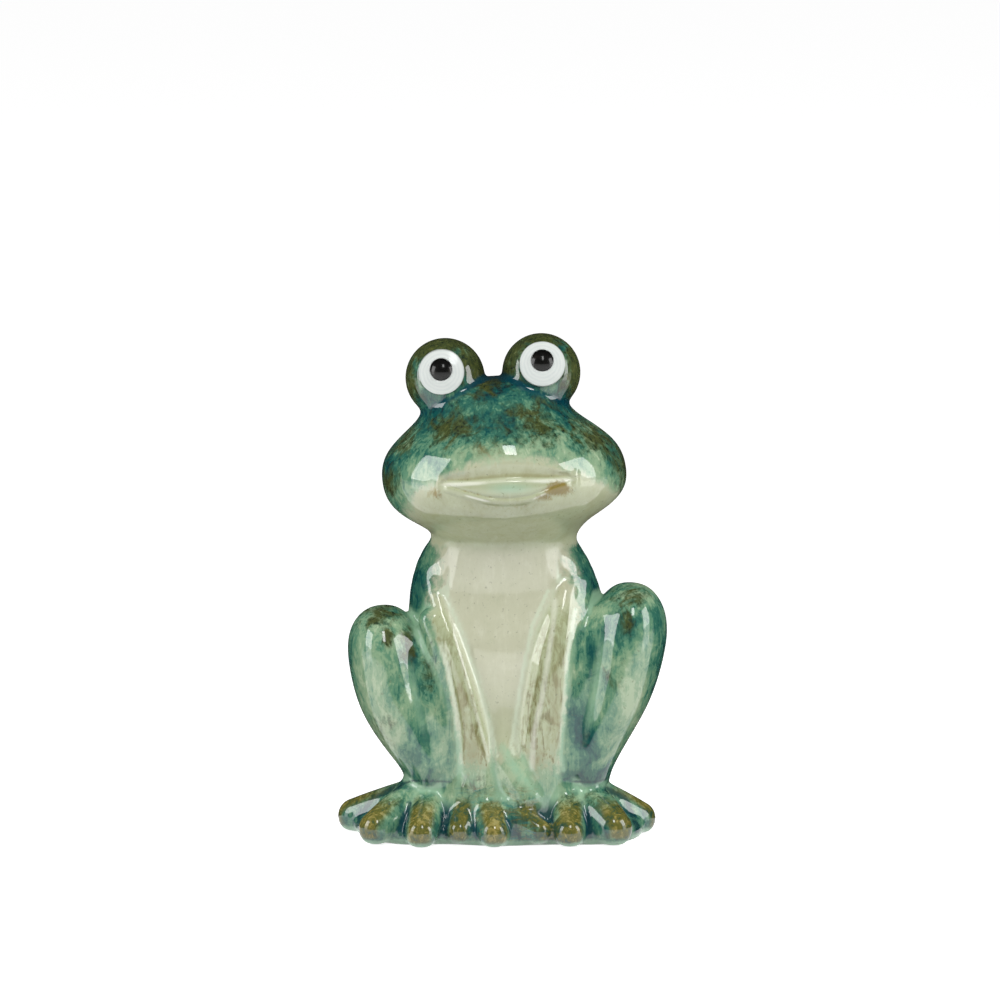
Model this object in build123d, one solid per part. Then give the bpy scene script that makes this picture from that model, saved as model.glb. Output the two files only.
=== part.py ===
from build123d import *
import os

# A sitting frog figurine in glazed earthenware. Hollow body and head castings carry
# limbs, feet, eye mounds and raised eye discs, all luted with slip and fired as one.
# The frog faces -Y. Right and left are the frog's own, so its right side is at -X.

# Castings
casting_wall = 4.5
body_floor = 5.0
drain_hole_radius = 6.0
drain_hole_back = 10.0
lute_gap = 0.3
overrun = 3.0
right_angle = 90.0
half_turn = 180.0
full_turn = 360.0

# Body
body_height = 118.0
body_half_width = 42.0
body_front_reach = 30.0
body_back_reach = 50.0

# Head, measured from the neck seam up
head_height = 65.0
head_half_width = 48.4
head_front_reach = 53.0
head_back_reach = 24.5
head_roll = 3.4
head_turn = 2.0
head_tuck = 4.0
crown_lean = 1.6

# Mouth: two rolls of clay bent tighter than the muzzle, so that they sink in at the corners
mouth_rise = 29.6
lip_bend_radius = 46.0
lip_radius = 2.8
lip_stand = 1.9
lip_spacing = 6.2
lip_tilt = 12.0
lip_sweep = 84.0
mouth_slot_radius = 1.6

# Eyes
eye_spread = 19.2
eye_line_shift = 1.9
eye_above_crown = 2.3
eye_forward = 12.0
eye_disc_radius = 9.1
eye_disc_rim = 1.3
eye_disc_dome = 1.5
eye_disc_overhang = 0.3
pupil_radius = 4.3
pupil_rise = 1.7
pupil_seat = 0.8

# Front legs
wrist_height = 29.0
shoulder_drop = 9.0
arm_top = body_height - shoulder_drop
arm_spread = 24.0
arm_stand = 3.0
arm_reach = body_front_reach + arm_stand
arm_half_width = 9.0
arm_half_depth = 8.5
arm_ridge_radius = 1.4

# Hind legs
ankle_height = 24.0
shin_half_width = 19.2
shin_half_depth = 16.0
shin_setback = 5.5
shin_forward = body_front_reach - shin_setback
haunch_base = 11.0
haunch_half_width = 19.5
haunch_half_depth = 30.0
haunch_forward = 20.0

# Feet
hind_instep_half_width = 18.5
hind_instep_half_depth = 16.0
palm_half_depth = 11.0
toe_lead = 18.0
toe_reach = body_front_reach + toe_lead
toe_root_height = 15.0
toe_radius = 6.0
toe_press = 0.6
toe_waist_share = 0.6

# What differs between the two sides of this hand-finished casting
sides = {
    "right": {
        "sign": -1, "knee_height": 93.5, "leg_out": 7.5, "haunch_out": 5.5,
        "eye_mound_radius": 15.2, "eye_lift": 0.3, "look_up": 17.0, "look_out": 7.0,
        "pupil_up": 0.7, "instep_spread": 38.5, "instep_setback": 6.0, "toe_out": 18.0,
        "palm_spread": 9.5, "palm_half_width": 13.0,
    },
    "left": {
        "sign": 1, "knee_height": 102.5, "leg_out": 11.3, "haunch_out": 9.0,
        "eye_mound_radius": 15.6, "eye_lift": -0.3, "look_up": 21.5, "look_out": 1.0,
        "pupil_up": 1.1, "instep_spread": 35.5, "instep_setback": 6.0, "toe_out": 13.0,
        "palm_spread": 10.0, "palm_half_width": 11.0,
    },
}

# Toes run from a root under the ankle to a round tip pressed on the ground:
# root (out, forward, up), tip (out, forward), root, waist and tip radius
hind_toe_shares = {
    "right": (
        ((0.500, 0.354, 0.967), (1.000, 0.073), (1.50, 1.07, 0.95)),
        ((0.517, 0.500, 1.000), (0.833, 0.854), (1.33, 0.97, 1.10)),
        ((0.483, 0.563, 0.933), (0.533, 1.000), (1.33, 0.93, 0.93)),
    ),
    "left": (
        ((0.564, 0.417, 0.967), (1.000, 0.333), (1.42, 1.03, 0.95)),
        ((0.600, 0.500, 1.000), (0.811, 0.927), (1.33, 1.00, 1.15)),
        ((0.500, 0.563, 0.967), (0.476, 0.938), (1.08, 0.83, 0.95)),
    ),
}
front_toe_shares = {
    "right": (
        ((0.604, 0.667, 0.867), (0.771, 0.844), (0.83, 0.67, 0.63)),
        ((0.333, 0.688, 0.800), (0.167, 1.010), (1.17, 0.90, 0.97)),
    ),
    "left": (
        ((0.333, 0.688, 1.067), (0.567, 0.865), (0.92, 0.73, 0.70)),
    ),
}

# Body sections: height, half width, front reach, back reach
body_shares = (
    (0.00, 0.88, 0.80, 0.92), (0.14, 1.00, 0.97, 1.00), (0.30, 1.00, 1.00, 0.95),
    (0.50, 0.95, 1.00, 0.78), (0.70, 0.885, 0.95, 0.60), (0.87, 0.83, 0.84, 0.46),
    (1.00, 0.69, 0.68, 0.34),
)

# Head sections: height, half width, front reach, back reach
head_shares = (
    (0.00, 0.60, 0.50, 0.78), (0.11, 0.615, 0.62, 0.80), (0.25, 0.87, 0.88, 0.92),
    (0.44, 1.00, 1.00, 1.00), (0.62, 0.912, 0.92, 0.96), (0.80, 0.63, 0.66, 0.70),
    (0.93, 0.34, 0.37, 0.30),
)
crown_forward_share = 0.11

# Limb sections: height, centre out, centre forward, half width, half depth
arm_shares = {
    "right": (
        (0.00, 0.430, 0.980, 0.98, 0.96), (0.30, 0.467, 0.965, 0.93, 1.00),
        (0.60, 0.690, 0.850, 0.91, 1.00), (0.86, 0.940, 0.610, 0.88, 0.85),
    ),
    "left": (
        (0.00, 0.580, 0.985, 1.02, 0.96), (0.25, 0.570, 0.965, 1.08, 1.00),
        (0.56, 0.735, 0.885, 0.98, 1.00), (0.84, 0.880, 0.650, 0.89, 0.86),
    ),
}
arm_tip_shares = {"right": (0.98, 0.42), "left": (0.95, 0.46)}

# How far round each arm section its fine ridge lies, from the crest to the inner edge
ridge_shares = {"right": (0.97, 0.80, 0.46, 0.32), "left": (0.97, 0.97, 0.95, 0.60)}

shin_shares = {
    "right": (
        (0.00, 0.600, 1.00, 0.50, 0.72), (0.153, 0.662, 0.98, 0.70, 0.88),
        (0.40, 0.765, 0.945, 0.965, 1.00), (0.65, 0.840, 0.915, 0.99, 0.96),
        (0.86, 0.925, 0.89, 0.76, 0.79), (0.945, 0.978, 0.87, 0.47, 0.52),
    ),
    "left": (
        (0.00, 0.635, 1.00, 0.48, 0.70), (0.135, 0.668, 0.98, 0.635, 0.85),
        (0.36, 0.770, 0.945, 0.85, 0.99), (0.62, 0.848, 0.925, 0.975, 0.97),
        (0.86, 0.925, 0.89, 0.79, 0.79), (0.945, 0.978, 0.87, 0.48, 0.53),
    ),
}
haunch_shares = (
    (0.05, 0.52, -0.66, 0.40, 0.50), (0.185, 0.575, -0.58, 0.78, 0.88),
    (0.335, 0.66, -0.42, 0.97, 0.98), (0.535, 0.79, -0.04, 0.99, 0.93),
    (0.74, 0.875, 0.48, 0.88, 0.66), (0.90, 0.945, 0.80, 0.56, 0.40),
)

# Foot sections under the wrist or ankle: height, centre out, centre forward, width, depth
instep_shares = (
    (0.00, 1.00, 1.00, 1.00, 1.00), (0.25, 0.98, 1.00, 0.94, 0.97),
    (0.65, 0.86, 1.00, 0.72, 0.84),
)
palm_shares = {
    "right": (
        (0.00, 1.00, 0.98, 1.00, 0.97), (0.22, 1.00, 1.00, 1.03, 1.02),
        (0.63, 1.04, 1.00, 0.84, 0.90),
    ),
    "left": (
        (0.00, 1.00, 0.98, 1.00, 0.97), (0.22, 1.00, 1.00, 1.02, 1.02),
        (0.63, 1.17, 1.00, 0.93, 0.90),
    ),
}


def oval(x, y, z, half_width, half_depth):
    back = Edge.make_ellipse(half_width, half_depth, start_angle=0, end_angle=half_turn)
    front = Edge.make_ellipse(
        half_width, half_depth, start_angle=half_turn, end_angle=full_turn)
    return Pos(x, y, z) * make_face([back, front])


def biggest(shape):
    return shape.solids().sort_by(SortBy.VOLUME)[-1]


def above(shape, height):
    return split(shape, bisect_by=Plane.XY.offset(height), keep=Keep.TOP)


def reach_section(height, half_width, front, back, across=0.0):
    return oval(across, (back - front) / 2, height, half_width, (back + front) / 2)


# Forms. Each one can be grown by a gap, and that is how a neighbour is trimmed to it.
def body_form(grow=0.0):
    sections = []
    for height, width, front, back in body_shares:
        sections.append(reach_section(
            body_height * height, body_half_width * width + grow,
            body_front_reach * front + grow, body_back_reach * back + grow))
    return loft(sections)


def head_upright(grow=0.0):
    low = body_height - head_tuck
    tall = head_height + head_tuck
    sections = []
    for height, width, front, back in head_shares:
        sections.append(reach_section(
            low + tall * height, head_half_width * width + grow,
            head_front_reach * front + grow, head_back_reach * back + grow,
            -crown_lean * height))
    crown = Vertex(-crown_lean, -head_front_reach * crown_forward_share, low + tall + grow)
    return loft(sections + [crown])


head_pivot = Pos(0, 0, body_height + mouth_rise)
head_tilt = head_pivot * Rot(0, -head_roll, 0) * Rot(0, 0, head_turn) * head_pivot.inverse()


def head_form(grow=0.0):
    return head_tilt * head_upright(grow)


def lip(rise, radius, stand, tilt):
    """A round roll across the muzzle that stands out by the given amount in the middle."""
    front = Pos(0, radius - head_front_reach - stand, body_height + mouth_rise + rise)
    ring = Torus(lip_bend_radius, radius, major_angle=lip_sweep, align=None)
    start = Rot(0, 0, -right_angle - lip_sweep / 2)
    return front * Rot(tilt, 0, 0) * Pos(0, lip_bend_radius, 0) * start * ring


def limb_places(side, shares, base, top, spread, lead, half_width, half_depth):
    """Section centres and half sizes of a limb between two heights."""
    places = []
    for height, out, forward, width, depth in shares:
        places.append((
            sides[side]["sign"] * spread * out, -lead * forward,
            base + (top - base) * height, half_width * width, half_depth * depth))
    return places


def limb(places, ends, grow):
    sections = []
    for x, y, z, half_width, half_depth in places:
        sections.append(oval(x, y, z, half_width + grow, half_depth + grow))
    first, last = ends
    if first:
        sections.insert(0, Vertex(first[0], first[1], first[2] - grow))
    if last:
        sections.append(Vertex(last[0], last[1], last[2] + grow))
    return loft(sections)


def arm_places(side):
    return limb_places(
        side, arm_shares[side], wrist_height, arm_top, arm_spread, arm_reach,
        arm_half_width, arm_half_depth)


def arm_form(side, grow=0.0):
    out, forward = arm_tip_shares[side]
    tip = (sides[side]["sign"] * arm_spread * out, -arm_reach * forward, arm_top)
    return limb(arm_places(side), (None, tip), grow)


def arm_ridge(side):
    """The fine raised line down the inner edge of a front leg."""
    sections = []
    for place, round_share in zip(arm_places(side), ridge_shares[side]):
        x, y, z, half_width, half_depth = place
        inward = -sides[side]["sign"] * half_width * round_share
        outward = half_depth * (1 - round_share ** 2) ** 0.5
        sections.append(Pos(x + inward, y - outward, z) * Circle(arm_ridge_radius))
    return loft(sections, ruled=True)


def leg_spread(side):
    return body_half_width + sides[side]["leg_out"]


def shin_places(side):
    return limb_places(
        side, shin_shares[side], ankle_height, sides[side]["knee_height"],
        leg_spread(side), shin_forward, shin_half_width, shin_half_depth)


def shin_form(side, grow=0.0):
    values = sides[side]
    knee = (
        values["sign"] * leg_spread(side),
        -shin_forward * shin_shares[side][-1][2], values["knee_height"])
    return limb(shin_places(side), (None, knee), grow)


def haunch_form(side, grow=0.0):
    values = sides[side]
    out = body_half_width + values["haunch_out"]
    spread = values["sign"] * out
    first, last = haunch_shares[0], haunch_shares[-1]
    base = (spread * first[1], -haunch_forward * first[2], haunch_base)
    top = (spread * last[1], -haunch_forward * last[2], values["knee_height"] - lute_gap)
    places = limb_places(
        side, haunch_shares, haunch_base, values["knee_height"], out, haunch_forward,
        haunch_half_width, haunch_half_depth)
    return limb(places, (base, top), grow)


def digit(side, toe, spread, grow=0.0):
    """A toe turned about its own line: stout root, slim waist, round tip."""
    across = sides[side]["sign"] * spread
    (out, forward, up), (tip_out, tip_forward), radii = toe
    tip_height = toe_radius * radii[-1] - toe_press
    root = Vector(across * out, -toe_reach * forward, toe_root_height * up)
    line = Vector(across * tip_out, -toe_reach * tip_forward, tip_height) - root
    length = line.length
    root_radius, waist_radius, tip_radius = (toe_radius * radius + grow for radius in radii)
    heel = CenterArc((0, 0), root_radius, half_turn, -right_angle)
    crest = ThreePointArc(
        (0, root_radius), (length * toe_waist_share, waist_radius), (length, tip_radius))
    nose = CenterArc((length, 0), tip_radius, right_angle, -right_angle)
    profile = make_face(heel + crest + nose + Line(nose @ 1, heel @ 0))
    solid = revolve(profile, Axis.X)
    return Plane(origin=root, x_dir=line, z_dir=Vector(0, 0, 1).cross(line)) * solid


def pad_form(side, shares, joint, height, spread, lead, half_width, half_depth, grow):
    """The foot's own mass, whose top is the foot of the limb that stands on it."""
    places = limb_places(side, shares, 0.0, height, spread, lead, half_width, half_depth)
    x, y, z, joint_half_width, joint_half_depth = joint
    places.append((x, y, height, joint_half_width, joint_half_depth))
    return limb(places, (None, None), grow)


def palm_form(side, grow=0.0):
    values = sides[side]
    return pad_form(
        side, palm_shares[side], arm_places(side)[0], wrist_height - lute_gap,
        values["palm_spread"], arm_reach, values["palm_half_width"], palm_half_depth, grow)


def front_foot_form(side, grow=0.0):
    form = palm_form(side, grow)
    for toe in front_toe_shares[side]:
        form = form + digit(side, toe, arm_spread, grow)
    return above(form, 0)


def hind_foot_form(side):
    values = sides[side]
    form = pad_form(
        side, instep_shares, shin_places(side)[0], ankle_height - lute_gap,
        values["instep_spread"], body_front_reach - values["instep_setback"],
        hind_instep_half_width, hind_instep_half_depth, 0.0)
    for toe in hind_toe_shares[side]:
        form = form + digit(side, toe, body_half_width + values["toe_out"])
    return above(form, 0)


# Eyes. The eye frame has its origin in the ball and its Z axis where the frog looks.
def eye_frame(side):
    values = sides[side]
    across = values["sign"] * eye_spread - eye_line_shift
    height = body_height + head_height + eye_above_crown + values["eye_lift"]
    centre = Pos(across, -eye_forward, height)
    turn = Rot(0, 0, values["sign"] * values["look_out"])
    return head_tilt * centre * turn * Rot(right_angle - values["look_up"], 0, 0)


def disc_stand(side):
    """How far the flat seat of the disc lies from the middle of the eye ball."""
    seat_radius = eye_disc_radius - eye_disc_overhang
    return (sides[side]["eye_mound_radius"] ** 2 - seat_radius ** 2) ** 0.5


def eye_mound(side):
    ball = Sphere(sides[side]["eye_mound_radius"])
    ball = split(ball, bisect_by=Plane.XY.offset(disc_stand(side)), keep=Keep.BOTTOM)
    return biggest(eye_frame(side) * ball - head_form(lute_gap))


def pupil_seat_frame(side):
    level = disc_stand(side) + lute_gap + eye_disc_rim + eye_disc_dome - pupil_seat
    return eye_frame(side) * Pos(0, sides[side]["pupil_up"], level)


def dome(radius, height, rise):
    """A button with a straight side and a ball-shaped top, turned about its axis."""
    ball_radius = (radius ** 2 + rise ** 2) / (2 * rise)
    base = Polyline((0, height + rise), (0, 0), (radius, 0), (radius, height))
    cap = RadiusArc((radius, height), (0, height + rise), -ball_radius)
    return revolve(make_face(Plane.XZ * (base + cap)), Axis.Z)


def eye_white(side):
    disc = dome(eye_disc_radius, eye_disc_rim, eye_disc_dome)
    disc = eye_frame(side) * Pos(0, 0, disc_stand(side) + lute_gap) * disc
    sink_height = pupil_rise + eye_disc_dome
    sink = Pos(0, 0, sink_height / 2 - lute_gap) * Cylinder(pupil_radius + lute_gap, sink_height)
    return biggest(disc - pupil_seat_frame(side) * sink)


def pupil(side):
    return pupil_seat_frame(side) * dome(pupil_radius, pupil_seat, pupil_rise)


# Castings and limbs
def body_casting():
    hollow = above(body_form(-casting_wall), body_floor)
    mouth_of_neck = hollow.faces().sort_by(Axis.Z)[-1]
    neck = extrude(mouth_of_neck, overrun)
    hole = Pos(0, drain_hole_back, 0) * Cylinder(drain_hole_radius, 2 * (body_floor + overrun))
    return biggest(body_form() - hollow - neck - hole)


def head_casting():
    form = head_upright()
    form = form + lip(lip_spacing / 2, lip_radius, lip_stand, -lip_tilt)
    form = form + lip(-lip_spacing / 2, lip_radius, lip_stand, lip_tilt)
    form = form - lip(0, mouth_slot_radius, mouth_slot_radius, 0)
    form = head_tilt * form - head_form(-casting_wall)
    return biggest(above(form, body_height + lute_gap))


def front_leg(side):
    return biggest(arm_form(side) + arm_ridge(side) - body_form(lute_gap))


def hind_leg(side):
    form = shin_form(side) + haunch_form(side) - body_form(lute_gap)
    return biggest(form - arm_form(side, lute_gap) - palm_form(side, lute_gap))


def front_foot(side):
    form = front_foot_form(side) - body_form(lute_gap)
    if side == "left":
        form = form - front_foot_form("right", lute_gap)
    return biggest(form)


def hind_foot(side):
    form = hind_foot_form(side) - body_form(lute_gap) - haunch_form(side, lute_gap)
    return biggest(form - front_foot_form(side, lute_gap))


def main():
    pieces = {"body_casting": body_casting(), "head_casting": head_casting()}
    makers = (eye_mound, eye_white, pupil, front_leg, front_foot, hind_leg, hind_foot)
    for side in sides:
        for maker in makers:
            pieces[maker.__name__ + "_" + side] = maker(side)
    box = Compound(list(pieces.values())).bounding_box()
    to_origin = Pos(-box.center().X, -box.center().Y, -box.min.Z)
    os.makedirs("parts", exist_ok=True)
    for name, piece in pieces.items():
        export_step(to_origin * piece, os.path.join("parts", name + ".step"))
        print(name, "volume", round(piece.volume), "solids", len(piece.solids()))
    print("size", [round(length, 1) for length in (box.size.X, box.size.Y, box.size.Z)])


main()
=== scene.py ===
import math
import bmesh
import bpy
import numpy as np
from mathutils import Matrix, Vector


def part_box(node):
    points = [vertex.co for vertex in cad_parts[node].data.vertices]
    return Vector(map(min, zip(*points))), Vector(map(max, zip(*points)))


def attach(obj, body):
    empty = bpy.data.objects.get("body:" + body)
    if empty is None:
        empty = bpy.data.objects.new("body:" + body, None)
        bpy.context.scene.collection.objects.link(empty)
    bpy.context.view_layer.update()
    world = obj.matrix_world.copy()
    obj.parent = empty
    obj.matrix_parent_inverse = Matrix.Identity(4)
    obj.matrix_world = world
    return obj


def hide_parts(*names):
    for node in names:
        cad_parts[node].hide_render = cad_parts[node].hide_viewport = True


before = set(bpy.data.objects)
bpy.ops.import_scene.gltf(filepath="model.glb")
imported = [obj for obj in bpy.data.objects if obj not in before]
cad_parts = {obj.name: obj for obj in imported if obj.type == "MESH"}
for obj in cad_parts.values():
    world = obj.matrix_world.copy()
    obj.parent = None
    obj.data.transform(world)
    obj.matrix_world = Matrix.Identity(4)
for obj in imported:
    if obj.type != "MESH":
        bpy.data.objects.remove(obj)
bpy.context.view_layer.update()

millimetre = 0.001

# The forms are worked out in millimetres round the frog's own upright axis,
# facing -Y, and moved into place at the end. The body reaches this far ahead of it.
bodyFrontReach = 30.0
bodyLow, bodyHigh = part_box("body_casting")
axisPlace = Vector((
    (bodyLow.x + bodyHigh.x) / 2, bodyLow.y + bodyFrontReach * millimetre, 0.0))


def intoScene(name, data):
    thing = bpy.data.objects.new(name, data)
    bpy.context.scene.collection.objects.link(thing)
    return thing


def meshData(name, mesh):
    # turns a bmesh into mesh data and frees it
    data = bpy.data.meshes.new(name)
    mesh.to_mesh(data)
    mesh.free()
    return data


# The camera comes first, because everything is judged through it
cameraPlan = {
    "elevation": 9.0,
    "distance": 5.0,
    "sensor": 36.0,
    "frameWidth": 0.4,      # what the picture spans at the frog
    "lookAt": (-0.001, 0.0, 0.1326),
}


def setCamera(plan):
    lens = bpy.data.cameras.new("photoLens")
    lens.sensor_width = plan["sensor"]
    lens.lens = plan["sensor"] * plan["distance"] / plan["frameWidth"]
    camera = intoScene("photoCamera", lens)
    tilt = math.radians(plan["elevation"])
    back = Vector((0, -math.cos(tilt), math.sin(tilt)))
    target = Vector(plan["lookAt"]) + axisPlace
    camera.location = target + back * plan["distance"]
    camera.rotation_euler = (-back).to_track_quat("-Z", "Y").to_euler()
    bpy.context.scene.camera = camera
    print("camera set")


setCamera(cameraPlan)

# The forms of the glazed skin, all in millimetres
bodyForm = {
    "height": 118.0, "halfWidth": 42.0, "front": bodyFrontReach, "back": 50.0,
    # height, half width, front and back reach, as shares
    "rows": (
        (-0.06, 0.80, 0.78, 0.90), (0.00, 0.82, 0.80, 0.92), (0.12, 0.88, 0.95, 1.00),
        (0.21, 0.92, 0.99, 0.98), (0.31, 0.985, 1.00, 0.95), (0.50, 0.95, 1.00, 0.78),
        (0.70, 0.885, 0.95, 0.60), (0.87, 0.83, 0.84, 0.46), (0.97, 0.715, 0.72, 0.36),
        (1.02, 0.58, 0.58, 0.28)),
    "topEnd": 1.08,
}
headForm = {
    "height": 65.0, "halfWidth": 48.4, "front": 53.0, "back": 24.5, "tuck": 4.0,
    "roll": 3.4, "turn": 2.0,
    # height, half width, front and back reach as shares, then a shift across
    "rows": (
        (-0.06, 0.50, 0.42, 0.60, 0.0), (0.00, 0.53, 0.48, 0.68, 0.0),
        (0.08, 0.585, 0.575, 0.74, 0.2), (0.16, 0.685, 0.715, 0.82, 0.4),
        (0.25, 0.862, 0.875, 0.90, 0.5), (0.34, 0.972, 0.965, 0.97, 0.5),
        (0.44, 1.005, 1.00, 1.00, 0.1), (0.62, 0.925, 0.945, 0.96, -0.9),
        (0.80, 0.645, 0.785, 0.66, -1.9), (0.92, 0.575, 0.63, 0.34, -2.3),
        (0.98, 0.48, 0.54, 0.16, -2.5)),
    "bottomEnd": -0.12, "crownForward": 0.30, "crownShift": -2.6, "crownLift": 1.6,
}
# The closed mouth as a relief on the face: lines of points across and up
mouthForm = {
    "rise": 29.6, "corners": (-24.4, 28.0), "cornerEase": 3.0,
    "browLine": (
        (-30.0, 148.6), (-17.0, 151.3), (-9.0, 153.7), (3.0, 155.5), (15.0, 154.3),
        (23.0, 151.4), (32.0, 149.8)),
    "topLine": (
        (-30.0, 147.0), (-22.6, 147.7), (-9.0, 148.9), (3.0, 149.9), (15.0, 149.5),
        (26.2, 149.3), (32.0, 149.0)),
    "lowLine": (
        (-30.0, 145.4), (-22.6, 144.4), (-17.0, 143.0), (-11.0, 141.4), (-5.0, 140.1),
        (1.0, 139.6), (7.0, 139.9), (13.0, 141.3), (18.2, 143.4), (26.2, 145.6),
        (32.0, 147.0)),
    "browSwell": 0.9, "fold": 0.8, "lensStand": 0.15, "lensSwell": 0.3,
    "seam": 0.4, "seamUp": 2.0, "seamWidth": 0.55, "rimStand": 0.5,
    "underHollow": 0.3, "hollowDown": 3.2, "hollowWidth": 2.2,
    # how far from its line each part comes in and is full
    "sideFade": (8.0, 10.0), "browFade": (13.0, 1.0), "foldFade": (1.0, 0.4),
    "ledgeFade": (0.2, 1.6), "rimBelow": (-1.9, -0.1), "rimAbove": (2.2, 0.6),
    "lensFade": (0.2, 2.2),
    # reach beside the corners, how far back, lowest, highest: relief, then finer mesh
    "reliefBox": (10.0, -20.0, 128.0, 172.0), "fineBox": (3.0, -38.0, 136.0, 157.0),
    # folds beside the corners: across, up, half sizes, height
    "cornerFolds": ((-25.6, 145.0, 1.3, 4.2, 0.6), (29.3, 147.4, 1.3, 4.4, 0.6)),
}
# Limb rows from the floor up: height, across, along, half width, half depth
armForm = {
    "right": (
        (-8.0, -6.0, -30.5, 19.0, 11.0), (0.0, -6.0, -30.5, 19.0, 11.0),
        (8.0, -6.2, -30.5, 18.4, 11.0), (18.0, -8.0, -30.5, 14.0, 10.0),
        (27.0, -9.2, -30.3, 9.6, 9.6), (36.0, -10.2, -30.0, 7.9, 9.8),
        (48.0, -12.0, -29.2, 6.8, 10.0), (60.0, -14.6, -28.4, 6.1, 10.0),
        (72.0, -17.7, -27.0, 5.5, 9.7), (84.0, -21.5, -24.0, 5.3, 9.2),
        (93.0, -24.6, -20.2, 5.0, 8.2), (101.0, -27.4, -16.6, 4.4, 6.8),
        (109.0, -29.4, -12.8, 0.0, 0.0)),
    "left": (
        (-8.0, 13.0, -29.5, 13.0, 10.5), (0.0, 13.0, -29.5, 13.0, 10.5),
        (8.0, 13.4, -29.5, 12.6, 10.5), (18.0, 14.0, -29.6, 11.4, 10.0),
        (28.0, 14.2, -29.0, 11.0, 10.4), (38.0, 14.6, -28.4, 11.2, 11.2),
        (52.0, 16.4, -27.2, 11.2, 12.0), (68.0, 18.6, -26.2, 10.6, 12.0),
        (80.0, 20.6, -24.6, 9.8, 11.4), (92.0, 23.2, -20.8, 8.4, 10.4),
        (102.0, 25.4, -16.6, 6.2, 8.6), (110.0, 26.8, -13.0, 0.0, 0.0)),
}
bellyForm = {
    "rows": (
        (24.0, 0.5, -22.0, 0.0, 0.0), (34.0, 0.5, -21.0, 9.0, 12.0),
        (55.0, 0.4, -17.5, 20.0, 16.8), (80.0, 0.0, -15.5, 27.0, 17.6),
        (100.0, 0.0, -13.6, 27.5, 16.6), (112.0, -0.2, -13.2, 26.5, 17.2),
        (121.0, 0.0, -13.0, 24.5, 16.8), (132.0, 0.0, -14.0, 0.0, 0.0)),
}
# Clay left between limbs, and the shoulders: across, along, up, radius
webForm = {
    "right": (
        (-28.5, -25.5, 88.0, 5.0), (-25.0, -27.5, 78.0, 5.4), (-21.4, -28.5, 67.0, 5.8),
        (-19.6, -29.0, 56.0, 6.0), (-19.2, -29.5, 42.0, 6.2), (-19.6, -30.0, 26.0, 6.4),
        (-19.8, -32.0, 12.0, 6.4)),
    "left": (
        (31.5, -17.5, 101.0, 3.6), (29.5, -23.0, 90.0, 4.8), (27.4, -26.8, 79.0, 5.4),
        (26.0, -28.4, 69.0, 5.8), (24.9, -29.0, 58.0, 6.0), (23.6, -29.5, 44.0, 6.2),
        (23.4, -30.0, 28.0, 6.4), (24.0, -32.0, 12.0, 6.4)),
    "rightInner": (
        (-38.0, -22.0, 78.0, 5.6), (-33.4, -25.0, 71.0, 6.8), (-29.6, -27.6, 60.0, 7.4),
        (-27.0, -29.0, 46.0, 7.4), (-26.2, -30.0, 32.0, 6.6)),
    "leftInner": (
        (39.0, -22.0, 88.0, 5.6), (34.6, -24.6, 80.0, 6.8), (31.6, -26.6, 70.0, 7.4),
        (29.6, -28.4, 56.0, 7.4), (28.4, -29.6, 42.0, 7.0), (27.6, -30.4, 32.0, 6.4)),
    "middle": (
        (0.4, -26.5, 58.0, 4.0), (0.6, -29.5, 47.0, 5.4), (1.2, -31.6, 37.0, 6.6),
        (4.0, -33.4, 28.0, 7.4), (9.0, -36.0, 18.0, 7.0)),
}
shoulderForm = {
    "right": (
        (-18.5, -9.0, 113.0, 8.6), (-22.0, -9.0, 103.0, 12.2), (-24.6, -10.0, 90.0, 12.3)),
    "left": (
        (18.5, -9.0, 113.0, 9.0), (23.0, -9.0, 103.0, 12.5), (26.5, -9.0, 92.0, 13.5)),
}
# The low web of clay that joins the feet: across, along, up, radius
plinthForm = (
    (-57.0, -4.0, 3.4, 3.8), (-54.0, -20.0, 3.4, 4.0), (-46.0, -34.0, 3.2, 4.4),
    (-35.0, -40.0, 3.1, 4.5), (-20.0, -39.0, 3.2, 4.4), (-3.0, -42.5, 3.1, 4.6),
    (12.0, -40.5, 3.1, 4.5), (26.0, -40.0, 3.2, 4.5), (40.0, -38.5, 3.2, 4.6),
    (49.0, -30.0, 3.2, 4.4), (52.6, -16.0, 3.3, 4.0))
shinForm = {
    "ankle": 24.0, "forward": 24.5, "halfWidth": 19.2, "halfDepth": 16.0,
    # deeper behind the same front, and rounded under where it meets the foot
    "deepen": 1.5, "sole": ((18.6, 0.0), (21.0, 0.86)),
    "right": {"spread": 49.5, "knee": 91.6, "rows": (
        (0.00, 0.600, 1.00, 0.50, 0.72), (0.153, 0.680, 0.98, 0.652, 0.88),
        (0.40, 0.832, 0.945, 0.790, 1.00), (0.65, 0.924, 0.915, 0.775, 0.96),
        (0.86, 0.974, 0.89, 0.636, 0.79), (0.945, 0.986, 0.87, 0.45, 0.52))},
    "left": {"spread": 53.3, "knee": 100.8, "rows": (
        (0.00, 0.635, 1.00, 0.48, 0.70), (0.135, 0.678, 0.98, 0.608, 0.85),
        (0.36, 0.812, 0.945, 0.733, 0.99), (0.62, 0.918, 0.925, 0.782, 0.97),
        (0.86, 0.970, 0.89, 0.666, 0.79), (0.945, 0.984, 0.87, 0.46, 0.53))},
}
haunchForm = {
    "base": 11.0, "forward": 20.0, "halfWidth": 19.5, "halfDepth": 30.0, "underKnee": 0.3,
    "spread": {"right": 47.5, "left": 51.0},
    "rows": (
        (0.05, 0.52, -0.66, 0.24, 0.46), (0.185, 0.575, -0.58, 0.50, 0.82),
        (0.335, 0.66, -0.42, 0.97, 0.98), (0.535, 0.79, -0.04, 0.99, 0.93),
        (0.74, 0.875, 0.48, 0.88, 0.66), (0.90, 0.945, 0.80, 0.56, 0.40)),
}
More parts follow.
